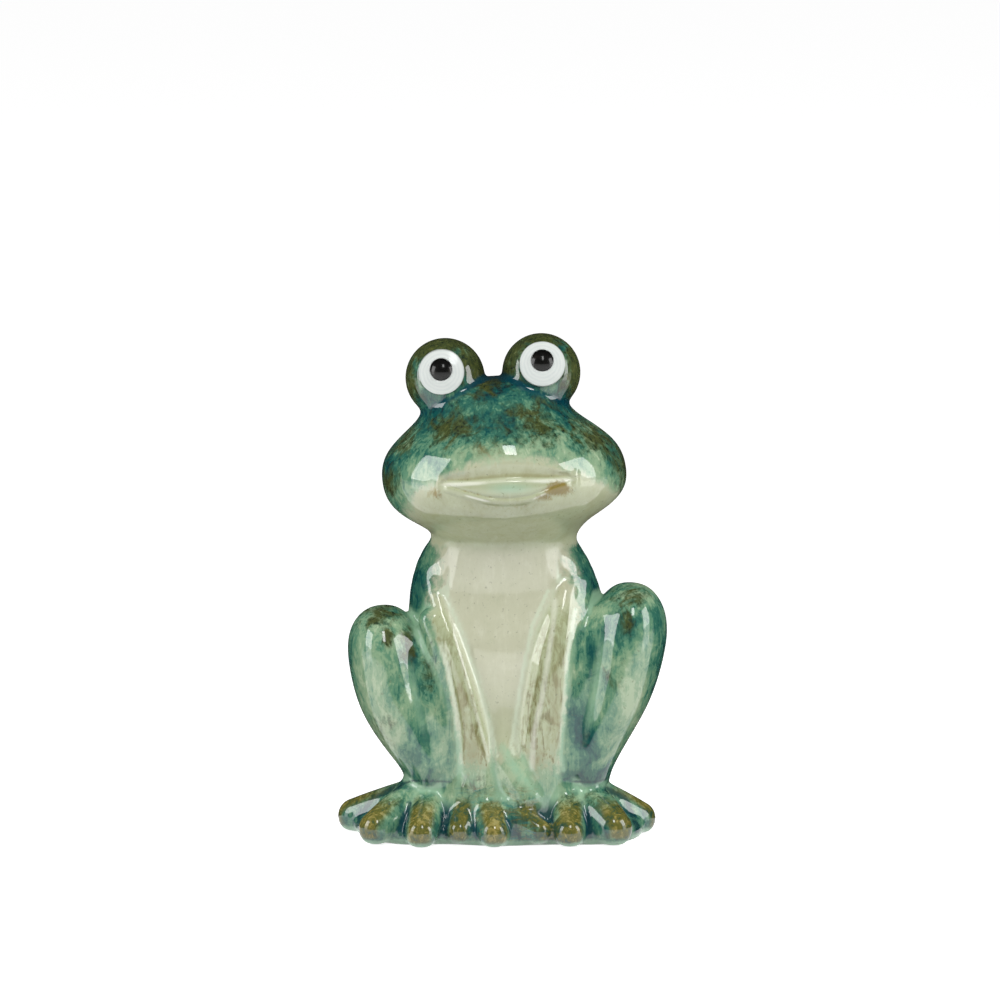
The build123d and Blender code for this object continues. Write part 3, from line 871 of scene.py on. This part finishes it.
# How broadly and how strongly the marks are laid
glazeLaying = {
    # breadths at which bends are read, how strongly each counts, and on cream how much less
    "fineBend": 1.1, "broadBend": 3.5, "fineCrease": 1.3, "broadCrease": 3.0,
    "broadShare": 0.6, "creamLess": 0.4,
    "creamSoft": (2.0, 7.0), "chinShare": 0.92, "chinTan": 0.34,
    # upper edge of the cream on the face: height, curve, and slope to each side
    "chinLine": (161, 0.009, 0.14, -0.06),
    "lowDeep": 0.45, "rearDeep": 0.35,
    # beyond and inside the corners; painted shade in tan above the mouth, where the muzzle
    # turns under: below, above, fading, strength
    "muzzleEnds": (3, 4), "paintedLipShade": (0.7, 0.5, 4.0, 0.85),
    # brown in the seam: width, strength; painted highlight along the ledge: down, width, least,
    # middle
    "lipSeam": (0.6, 0.5), "lipLedgeHighlight": (1.3, 0.8, 0.45, 2),
    # pale glints on the lower lip: up, width, then each one's place and half size
    "lipGlint": (0.2, 0.5), "glints": ((-10, 5), (15, 3)),
    # the mint patch in the mouth: across, up, half sizes, strength
    "mint": (3, 145.6, 10, 2.6, 0.7),
    # bare toe tips as shares of their radius; straw tint on the chin and on the legs
    "tipWidths": (1.15, 0.45), "straw": (0.8, 0.55), "fibre": 0.5, "palmMiddle": -2,
    # how height and depth count towards up in the picture plane of the lines
    "pictureUp": 0.988, "pictureAlong": 0.156,
}


def fade(name, value):
    return smoothStep(*glazeFade[name], value)


def lineMark(spots, lines):
    found = np.zeros(len(spots))
    for width, strength, bends in lines:
        bends = np.array(bends, float)
        for start, end in zip(bends[:-1], bends[1:]):
            step = end - start
            share = np.clip((spots - start) @ step / (step @ step), 0, 1)
            away = ((spots - start - share[:, None] * step) ** 2).sum(1)
            found = np.maximum(found, strength * np.exp(-away / width ** 2))
    return found


def raised(marks, name, values):
    # where a glaze is laid more than once, the stronger laying counts
    marks[name] = np.maximum(marks[name], values) if name in marks else values


def creamMarks(marks, x, y, z, ahead):
    plan = glazeLaying
    edge = np.where(x < 0, *(np.interp(z, *zip(*creamEdge[side])) for side in sideSign))
    least, more = plan["creamSoft"]
    soft = least + more * fade("softening", z)
    torso = fade("facing", ahead) * fade("torsoFoot", z) * fade("torsoTop", z)
    torso *= smoothStep(edge + soft, edge - soft, np.abs(x)) * fade("torsoSide", y)
    height, curve, right, left = plan["chinLine"]
    top = height - curve * x ** 2 - np.where(x < 0, right, left) * np.abs(x)
    chin = fade("chinTop", top - z) * fade("chinFoot", z) * fade("chinFacing", ahead)
    chin *= fade("chinRight", x) * fade("chinLeft", x)
    marks["cream"] = np.maximum(torso, plan["chinShare"] * chin)
    raised(marks, "tan", plan["chinTan"] * chin * fade("chinShade", z))
    return chin


def mouthMarks(marks, x, y, z):
    plan, (right, left) = glazeLaying, mouthForm["corners"]
    upper, lower = mouthLines(x)[1:]
    out, back = plan["muzzleEnds"]
    face = fade("muzzle", y) * smoothStep(right - out, right + back, x)
    face *= smoothStep(left + out, left - back, x)
    # painted shade: tan just above the mouth, where the muzzle turns under
    below, above, reach, strength = plan["paintedLipShade"]
    band = smoothStep(upper - below, upper + above, z) * np.exp(-np.abs(z - upper) / reach)
    raised(marks, "tan", strength * band * face)
    width, strength = plan["lipSeam"]
    seam = np.exp(-((z - lower - mouthForm["seamUp"]) / width) ** 2) * fade("seamRight", x)
    raised(marks, "brown", strength * seam * face)
    # painted highlights: a pale line along the ledge under the muzzle, and glints on the lower
    # lip
    down, width, least, middle = plan["lipLedgeHighlight"]
    line = np.abs(z - upper + down) / width
    ledge = least + (1 - least) * fade("ledgeHighlightEnds", np.abs(x - middle))
    ledge *= np.exp(-line ** 2)
    up, width = plan["lipGlint"]
    glint = np.max([np.exp(-((x - at) / size) ** 4) for at, size in plan["glints"]], axis=0)
    glint *= np.exp(-((z - lower - up) / width) ** 2)
    marks["white"] = face * np.maximum(ledge, glint)
    across, up, sizeX, sizeZ, strength = plan["mint"]
    marks["mint"] = strength * face * np.exp(
        -((x - across) / sizeX) ** 2 - ((z - up) / sizeZ) ** 2)


def creaseMarks(marks, points, y, z):
    plan = glazeLaying
    fineBend, broadBend = (bendAt(points, plan[name]) for name in ("fineBend", "broadBend"))
    broadShare = plan["broadShare"] - plan["creamLess"] * marks["cream"]
    crease = np.clip(-fineBend * plan["fineCrease"], 0, 1)
    crease += np.clip(-broadBend * plan["broadCrease"], 0, 1) * broadShare
    inMouth = fade("lipFront", y) * fade("lipFoot", z) * fade("lipTop", z)
    marks["crease"] = np.clip(crease, 0, 1) * (1 - inMouth)


def tipMarks(marks, points, x, y, z):
    wide, narrow = glazeLaying["tipWidths"]
    tips = np.zeros(len(points))
    for root, tip, radii in toeForms["right"] + toeForms["left"]:
        root, tip = np.array(root), np.array(tip)
        axis = tip - root
        length = np.hypot(*axis[:2])
        share = (points - root)[:, :2] @ axis[:2] / length / length
        aside = np.abs((x - root[0]) * axis[1] - (y - root[1]) * axis[0]) / length
        high = z - root[2] - np.clip(share, 0, 1) * axis[2]
        across = smoothStep(radii[2] * wide, radii[2] * narrow, aside)
        tips = np.maximum(tips, fade("tipAlong", share) * across * fade("tipTop", high))
    marks["tip"] = fade("foot", z) * fade("footFront", y) * tips


# lays the glaze lines and the painted highlight lines, seen straight on from the front
def lineMarks(marks, normal, x, y, z):
    up, along = glazeLaying["pictureUp"], glazeLaying["pictureAlong"]
    picture = np.stack([x, z * up + y * along], 1)
    front = fade("front", along * normal[:, 2] - up * normal[:, 1]) * fade("frontDepth", y)
    for name, lines in glazeAndHighlightLines.items():
        raised(marks, name, lineMark(picture, lines) * front)


def legMarks(marks, chin, x, y, z):
    plan = glazeLaying
    right, left = (np.interp(z, *zip(*armEdge[side])) for side in sideSign)
    arms = fade("armSide", np.where(x < 0, right - x, x - left))
    arms *= fade("armTop", z) * fade("armFront", y)
    onChin, onLegs = plan["straw"]
    marks["straw"] = np.maximum(onChin * chin, np.maximum(arms, onLegs * fade("strawTop", z)))
    fibre = arms * (1 - plan["fibre"] * fade("fibreArm", z))
    marks["fibre"] = np.maximum(fibre, plan["fibre"] * fade("fibreTop", z))
    marks["palm"] = fade("palmTop", z) * fade("palmFront", y)
    marks["palm"] *= fade("palmSide", np.abs(x - plan["palmMiddle"]))
    marks["rim"] = fade("rimTop", z) * fade("rimFront", y)


def layGlaze(data, points):
    plan = glazeLaying
    slope = slopeOf(points)[0]
    normal = slope / np.sqrt((slope ** 2).sum(1))[:, None]
    x, y, z = points.T
    marks = {name: softSpots(points, spots) for name, spots in glazeSpots.items()}
    chin = creamMarks(marks, x, y, z, -normal[:, 1])
    mouthMarks(marks, x, y, z)
    low = fade("low", z)
    raised(marks, "deep", np.maximum(plan["lowDeep"] * low, plan["rearDeep"] * fade("rear", y)))
    marks["low"] = np.maximum(low, fade("crown", z))
    creaseMarks(marks, points, y, z)
    tipMarks(marks, points, x, y, z)
    lineMarks(marks, normal, x, y, z)
    legMarks(marks, chin, x, y, z)
    for name, values in marks.items():
        setAttribute(data, name, values)
    print("glaze laid")


skinData = makeSkin()
layGlaze(skinData, pointsOf(skinData))
skinData.transform(Matrix.Translation(axisPlace) @ Matrix.Scale(millimetre, 4))
skinData.polygons.foreach_set("use_smooth", [True] * len(skinData.polygons))
skinData.name = "glazedFrog"
glazedFrog = intoScene("glazedFrog", skinData)
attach(glazedFrog, "root")
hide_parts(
    "body_casting", "head_casting", "eye_mound_right", "eye_mound_left",
    "front_leg_right", "front_leg_left", "front_foot_right", "front_foot_left",
    "hind_leg_right", "hind_leg_left", "hind_foot_right", "hind_foot_left")
print("skin placed")


def colour(red, green, blue):
    def linear(value):
        value /= 255
        return value / 12.92 if value <= 0.04045 else ((value + 0.055) / 1.055) ** 2.4
    return (linear(red), linear(green), linear(blue), 1.0)


def feed(tree, socket, value):
    if isinstance(value, bpy.types.NodeSocket):
        tree.links.new(value, socket)
    else:
        socket.default_value = value


def newMaterial(name, surface):
    material = bpy.data.materials.new(name)
    material.use_nodes = True
    shader = material.node_tree.nodes["Principled BSDF"]
    for socket, value in surface.items():
        shader.inputs[socket].default_value = value
    return material, material.node_tree, shader


def addNode(tree, kind, feeds=None, **settings):
    node = tree.nodes.new("ShaderNode" + kind)
    for name, value in settings.items():
        setattr(node, name, value)
    for name, value in (feeds or {}).items():
        feed(tree, node.inputs[name], value)
    return node


def reckon(tree, operation, first, second=0.0, third=0.0):
    node = addNode(tree, "Math", operation=operation)
    for socket, value in zip(node.inputs, (first, second, third)):
        feed(tree, socket, value)
    return node.outputs[0]


def between(tree, value, low, high):
    node = addNode(tree, "MapRange", {
        "Value": value, "From Min": low, "From Max": high}, interpolation_type="SMOOTHSTEP")
    return node.outputs["Result"]


def blended(tree, share, first, second):
    node = addNode(tree, "Mix", data_type="RGBA")
    for index, value in ((0, share), (6, first), (7, second)):
        feed(tree, node.inputs[index], value)
    return node.outputs[2]


def ramped(tree, value, stops):
    node = addNode(tree, "ValToRGB", {"Fac": value})
    node.color_ramp.interpolation = "EASE"
    points = node.color_ramp.elements
    while len(points) < len(stops):
        points.new(0.5)
    for point, (place, shade) in zip(points, stops):
        point.position, point.color = place, shade
    return node.outputs["Color"]


def cloud(tree, where, size, detail, rough=0.6, twist=0.0, stretch=(1, 1, 1), shift=0.0):
    # a noise whose patches are about size millimetres wide
    place = addNode(tree, "Mapping", {
        "Vector": where, "Location": (shift, shift * 0.7, shift * 1.3), "Scale": stretch})
    node = addNode(tree, "TexNoise", {
        "Vector": place.outputs[0], "Scale": 1.0 / (size * millimetre), "Detail": detail,
        "Roughness": rough, "Distortion": twist})
    return node.outputs["Fac"]


def mark(tree, name):
    return addNode(tree, "Attribute", attribute_name=name).outputs["Fac"]


frogGlaze = {
    "green": (
        (0.05, colour(170, 190, 156)), (0.28, colour(138, 168, 134)),
        (0.46, colour(97, 142, 113)), (0.62, colour(54, 108, 91)),
        (0.80, colour(18, 78, 76)), (0.97, colour(6, 46, 54))),
    "olive": (
        (0.2, colour(108, 108, 56)), (0.45, colour(70, 76, 36)), (0.75, colour(32, 42, 28))),
    "cream": (
        (0.15, colour(210, 211, 188)), (0.5, colour(200, 201, 175)),
        (0.9, colour(176, 181, 150))),
    "amber": (
        (0.2, colour(158, 142, 76)), (0.42, colour(100, 98, 40)), (0.62, colour(52, 78, 56)),
        (0.85, colour(16, 66, 66))),
    # white is the colour of the painted highlights; tan is glaze, and also painted shade above
    # the mouth and under the chin
    "white": colour(232, 234, 220), "tan": colour(148, 144, 102),
    "brown": colour(136, 116, 44), "speck": colour(84, 88, 62),
    "mint": colour(160, 200, 172), "creamPool": colour(212, 222, 198),
    "greenPool": colour(156, 194, 162), "deepPool": colour(2, 62, 76),
    "straw": colour(170, 180, 140), "fibre": colour(122, 118, 76), "dark": colour(8, 52, 60),
    "palmBrown": colour(120, 112, 78), "palmBlue": colour(44, 104, 104),
    # noises: patch size in millimetres, detail, roughness, twist, stretch, shift
    "noises": {
        "patches": (9.0, 3.5, 0.6, 0.8, (1, 1, 0.75)),
        "blotch": (6.5, 4.0, 0.6, 0.9, (1, 1, 0.75), 11.0),
        "grain": (2.2, 4.0, 0.62, 1.2, (1, 1, 0.7), 3.0),
        "runs": (3.2, 4.0, 0.6, 0.8, (1.7, 1.7, 0.30), 7.0),
        "swirls": (4.0, 4.0, 0.6, 2.0, (0.5, 0.5, 1.8), 29.0),
        "specks": (1.3, 2.0, 0.5, 0.0, (1, 1, 1), 17.0),
        "swell": (14.0, 2.0, 0.5, 0.0, (1, 1, 1), 23.0),
    },
    # how deep the green lies: at rest, with the deep mark and with the pale mark
    "depth": (0.33, 0.48, -0.22),
    # where each mottled shade starts, and how far the noises drive it
    "drifts": {
        "depth": {"patches": 1.1, "grain": 0.45, "runs": 0.55},
        "olive": {"runs": 0.7, "grain": 0.9},
        "cream": {"patches": 0.9, "grain": 0.4, "runs": 0.5},
        "fibre": {"blotch": 1.6, "runs": 2.2},
        "amber": {"blotch": 1.0, "grain": 1.0},
    },
    "starts": {"olive": 0.5, "cream": 0.45, "amber": 0.42},
    # layers: mark, glaze, where it comes in and is full, how much, noises at its border
    "oliveLayer": ("olive", "olive", 0.15, 0.95, 0.94, {
        "blotch": 2.2, "grain": 0.8, "runs": 0.5}),
    "creamLayer": ("cream", "cream", 0.16, 0.74, 1.0, {
        "patches": 1.2, "blotch": 0.9, "grain": 0.7, "runs": 0.5}),
    "faceLayers": (
        # tan layer: glaze, and also the painted shade above the mouth and under the chin
        ("tan", "tan", 0.15, 1.0, 0.8, {"blotch": 0.9, "grain": 0.35}),
        ("palm", "palmBrown", 0.9, 1.6, 0.6, {"swirls": 3.2, "grain": 0.8}),
        ("palm", "palmBlue", 0.9, 1.6, 0.6, {"swirls": -3.2, "grain": 0.8}),
        ("mint", "mint", 0.0, 1.0, 0.75, {}),
        # painted highlights along the lip ledge, glints on the lower lip and down the front
        # legs
        ("white", "white", 0.1, 0.9, 0.75, {"grain": 0.3}),
        ("band", "greenPool", 0.1, 0.9, 0.8, {"grain": 0.8, "runs": 0.8}),
        ("brown", "brown", 0.25, 1.1, 0.9, {"blotch": 1.0, "grain": 1.3})),
    "edgeLayers": (
        ("crease", "pool", 0.15, 0.9, 0.85, {"grain": 0.7}),
        ("dark", "dark", 0.15, 0.9, 0.8, {"grain": 0.9}),
        ("rim", "greenPool", 0.2, 1.0, 0.7, {"grain": 1.2}),
        ("tip", "amber", 0.2, 0.9, 0.95, {"blotch": 1.2, "grain": 0.8})),
    # a noise drifts a border only where its glaze is laid at least so much
    "laidFrom": (0.02, 0.3),
    "strawShare": 0.8, "fibreFrom": (0.7, 1.5), "specksFrom": (0.65, 0.74), "specksShare": 0.35,
    "rippleStrength": 0.35, "rippleDepth": 0.0006,
    "surface": {
        "Roughness": 0.5, "Specular IOR Level": 0.0, "Coat Weight": 0.75,
        "Coat Roughness": 0.045, "Coat IOR": 1.8},
}


def swing(tree, noise, amount, start=0.0):
    # a noise runs about 0.3 to 0.7; this turns it into a drift either way of start
    if isinstance(start, bpy.types.NodeSocket):
        start = reckon(tree, "ADD", start, -0.5 * amount)
    else:
        start -= 0.5 * amount
    return reckon(tree, "MULTIPLY_ADD", noise, amount, start)


def makeFrogGlaze():
    plan = frogGlaze
    material, tree, shader = newMaterial("frogGlaze", plan["surface"])
    where = addNode(tree, "TexCoord").outputs["Object"]
    noises = {name: cloud(tree, where, *values) for name, values in plan["noises"].items()}

    def drifted(start, drifts):
        for name, amount in drifts.items():
            start = swing(tree, noises[name], amount, start)
        return start

    def mottled(name):
        return ramped(tree, drifted(plan["starts"][name], plan["drifts"][name]), plan[name])

    shades = dict(plan, **{name: mottled(name) for name in ("olive", "cream", "amber")})

    def laid(base, layer):
        name, shade, low, high, most, drifts = layer
        here = mark(tree, name)
        share = between(tree, drifted(here, drifts), low, high)
        if drifts:
            share = reckon(tree, "MULTIPLY", share, between(tree, here, *plan["laidFrom"]))
        if most < 1:
            share = reckon(tree, "MULTIPLY", share, most)
        return blended(tree, share, base, shades[shade]), share

    # green body glaze: how deep it lies is the mark plus the drifting of the noises
    atRest, deeper, paler = plan["depth"]
    depth = reckon(tree, "MULTIPLY_ADD", mark(tree, "deep"), deeper, atRest)
    depth = drifted(depth, plan["drifts"]["depth"])
    depth = reckon(tree, "MULTIPLY_ADD", mark(tree, "pale"), paler, depth)
    skin = laid(ramped(tree, depth, plan["green"]), plan["oliveLayer"])[0]

    # cream glaze over the belly, the chin and the fronts of the front legs
    skin, creamShare = laid(skin, plan["creamLayer"])
    straw = reckon(tree, "MULTIPLY", mark(tree, "straw"), creamShare)
    strawShare = reckon(tree, "MULTIPLY", straw, plan["strawShare"])
    skin = blended(tree, strawShare, skin, plan["straw"])
    fibre = between(tree, drifted(straw, plan["drifts"]["fibre"]), *plan["fibreFrom"])
    fibre = reckon(tree, "MULTIPLY", fibre, mark(tree, "fibre"))
    skin = blended(tree, fibre, skin, plan["fibre"])
    for layer in plan["faceLayers"]:
        skin = laid(skin, layer)[0]

    specks = between(tree, noises["specks"], *plan["specksFrom"])
    specks = reckon(tree, "MULTIPLY", specks, plan["specksShare"])
    skin = blended(tree, specks, skin, plan["speck"])

    # glaze gathers in the creases, pale higher up and deep blue-green between the toes,
    # and runs thin off the toe tips
    pool = blended(tree, creamShare, plan["greenPool"], plan["creamPool"])
    shades["pool"] = blended(tree, mark(tree, "low"), pool, plan["deepPool"])
    for layer in plan["edgeLayers"]:
        skin = laid(skin, layer)[0]

    feed(tree, shader.inputs["Base Color"], skin)
    ripple = addNode(tree, "Bump", {
        "Height": noises["swell"], "Strength": plan["rippleStrength"],
        "Distance": plan["rippleDepth"]})
    feed(tree, shader.inputs["Coat Normal"], ripple.outputs[0])
    return material


eyeGlaze = {
    "white": colour(218, 223, 219), "stroke": colour(203, 210, 208),
    # edge: the colour of a painted shadow line round the rim of the disc
    "edge": colour(150, 156, 150), "shadowLineWidth": 0.35,
    # brush rings: width, wave scale for one ring, wander, its detail and its scale
    "ringWidth": 1.3, "ringScale": 0.314, "wander": (2.2, 2.0, 1.4), "strokeNoise": (5.0, 3.0),
    "black": colour(9, 9, 8), "sheen": colour(30, 27, 22), "sheenFrom": (0.5, 0.75),
    "sheenNoise": (3.0, 3.0),
    "surface": {
        "Roughness": 0.4, "Specular IOR Level": 0.1, "Coat Weight": 0.6,
        "Coat Roughness": 0.04},
}


def eyeWhite(side):
    # brushed on in faint circles, with a thin darker line painted where it ends: a painted
    # shadow where the disc meets its mound
    plan = eyeGlaze
    material, tree, shader = newMaterial("eyeWhite_" + side, plan["surface"])
    place = Matrix.Scale(millimetre, 4) @ eyePlace(side)
    turned = addNode(tree, "Mapping", {
        "Vector": addNode(tree, "TexCoord").outputs["Object"],
        "Location": place.translation + axisPlace,
        "Rotation": place.to_3x3().normalized().to_euler()}, vector_type="TEXTURE")
    twist, detail, detailScale = plan["wander"]
    ringScale = plan["ringScale"] / (plan["ringWidth"] * millimetre)
    rings = addNode(tree, "TexWave", {
        "Vector": turned.outputs[0], "Scale": ringScale, "Distortion": twist,
        "Detail": detail, "Detail Scale": detailScale},
        wave_type="RINGS", rings_direction="Z")
    drift = cloud(tree, turned.outputs[0], *plan["strokeNoise"])
    share = reckon(tree, "MULTIPLY", rings.outputs["Fac"], drift)
    base = blended(tree, share, plan["white"], plan["stroke"])
    apart = addNode(tree, "SeparateXYZ", {"Vector": turned.outputs[0]})
    x, y = apart.outputs["X"], apart.outputs["Y"]
    squared = reckon(tree, "MULTIPLY_ADD", x, x, reckon(tree, "MULTIPLY", y, y))
    # painted shadow line round the disc's rim
    reach = (eyeForm["discRadius"] - eyeForm["shadowLineInset"]) * millimetre
    width = plan["shadowLineWidth"] * millimetre
    edge = between(tree, reckon(tree, "SQRT", squared), reach - width, reach + width)
    feed(tree, shader.inputs["Base Color"], blended(tree, edge, base, plan["edge"]))
    return material


def pupilBlack(side):
    plan = eyeGlaze
    material, tree, shader = newMaterial("pupilBlack_" + side, plan["surface"])
    where = addNode(tree, "TexCoord").outputs["Object"]
    share = between(tree, cloud(tree, where, *plan["sheenNoise"]), *plan["sheenFrom"])
    feed(tree, shader.inputs["Base Color"], blended(tree, share, plan["black"], plan["sheen"]))
    return material


glazedFrog.data.materials.append(makeFrogGlaze())
for side in sideSign:
    for node, made in (("eye_white_", eyeWhite(side)), ("pupil_", pupilBlack(side))):
        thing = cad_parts[node + side]
        thing.data.materials.clear()
        thing.data.materials.append(made)
print("materials made")

# Floor and light, in metres
studio = {
    "floorColour": (0.74, 0.74, 0.74, 1.0), "floorGlow": 0.88, "floorSize": 12.0,
    "sky": 0.08, "aim": (0.0, 0.0, 0.1),
    # a dark cloth round and under the back, seen only in reflections, draws the edges
    "curtainRadius": 0.30, "curtainHeight": 0.6, "curtainLift": 0.0003, "curtainFront": 0.02,
    "curtainSides": 48,
    "curtainSurface": {
        "Base Color": (0.02, 0.02, 0.02, 1.0), "Roughness": 1.0, "Specular IOR Level": 0.0},
    # azimuth, elevation, distance, width and height in metres, radiance
    "panels": {
        "softboxRight": (-70.0, 31.0, 0.66, 0.26, 0.32, 5.2),
        "softboxLeft": (70.0, 31.0, 0.66, 0.26, 0.32, 5.2),
        "lowRight": (-70.0, 5.0, 0.66, 0.26, 0.30, 2.2),
        "lowLeft": (70.0, 5.0, 0.66, 0.26, 0.30, 2.2),
        "softboxFront": (9.0, 54.0, 0.95, 0.16, 0.30, 8.5),
    },
    "topRadiance": 2.4, "topSize": 2.0, "topPlace": (0.0, -1.3, 2.0),
}


def makeFloor():
    mesh = bmesh.new()
    bmesh.ops.create_grid(mesh, x_segments=1, y_segments=1, size=studio["floorSize"])
    floor = intoScene("studioFloor", meshData("studioFloor", mesh))
    material, tree, shader = newMaterial("studioFloor", {})
    tree.nodes.remove(shader)
    rays = addNode(tree, "LightPath").outputs
    seen = reckon(tree, "MAXIMUM", rays["Is Glossy Ray"], rays["Is Transmission Ray"])
    seen = reckon(tree, "MAXIMUM", rays["Is Camera Ray"], seen)
    strength = reckon(tree, "MULTIPLY", seen, studio["floorGlow"])
    matt = addNode(tree, "BsdfDiffuse", {"Color": studio["floorColour"]})
    glow = addNode(tree, "Emission", {"Strength": strength})
    both = addNode(tree, "AddShader")
    for socket, part in zip(both.inputs, (matt, glow)):
        feed(tree, socket, part.outputs[0])
    feed(tree, tree.nodes["Material Output"].inputs["Surface"], both.outputs[0])
    floor.data.materials.append(material)


def makeCurtain():
    plan = studio
    radius, height = plan["curtainRadius"], plan["curtainHeight"]
    mesh = bmesh.new()
    bmesh.ops.create_cone(
        mesh, cap_ends=True, segments=plan["curtainSides"], radius1=radius, radius2=radius,
        depth=height, matrix=Matrix.Translation((0, 0, height / 2 + plan["curtainLift"])))
    bmesh.ops.bisect_plane(
        mesh, geom=mesh.verts[:] + mesh.edges[:] + mesh.faces[:],
        plane_co=(0, plan["curtainFront"], 0), plane_no=(0, -1, 0), clear_outer=True)
    curtain = intoScene("darkCurtain", meshData("darkCurtain", mesh))
    curtain.data.materials.append(newMaterial("darkCurtain", plan["curtainSurface"])[0])
    curtain.visible_camera = curtain.visible_diffuse = curtain.visible_shadow = False
    curtain.visible_transmission = False


def addPanel(name, place, size, radiance, target):
    light = bpy.data.lights.new(name, "AREA")
    light.shape = "RECTANGLE"
    light.size, light.size_y = size
    light.energy = radiance * math.pi * size[0] * size[1]
    lamp = intoScene(name, light)
    lamp.location = place
    lamp.rotation_euler = (target - place).to_track_quat("-Z", "Y").to_euler()
    return lamp


def makeStudio():
    makeFloor()
    makeCurtain()
    aim = Vector(studio["aim"])
    for name, (turn, rise, away, width, height, radiance) in studio["panels"].items():
        turn, rise = math.radians(turn), math.radians(rise)
        place = Vector((
            math.sin(turn) * math.cos(rise), -math.cos(turn) * math.cos(rise),
            math.sin(rise))) * away
        panel = addPanel(name, place, (width, height), radiance, aim)
        panel.visible_camera = False
    top = Vector(studio["topPlace"])
    size = (studio["topSize"], studio["topSize"])
    panel = addPanel("topPanel", top, size, studio["topRadiance"], aim)
    panel.visible_glossy = False
    world = bpy.data.worlds.new("studioSky")
    bpy.context.scene.world = world
    world.use_nodes = True
    sky = world.node_tree.nodes["Background"]
    sky.inputs["Color"].default_value = (1, 1, 1, 1)
    sky.inputs["Strength"].default_value = studio["sky"]
    print("studio made")


makeStudio()
bpy.context.scene.view_settings.view_transform = "Standard"
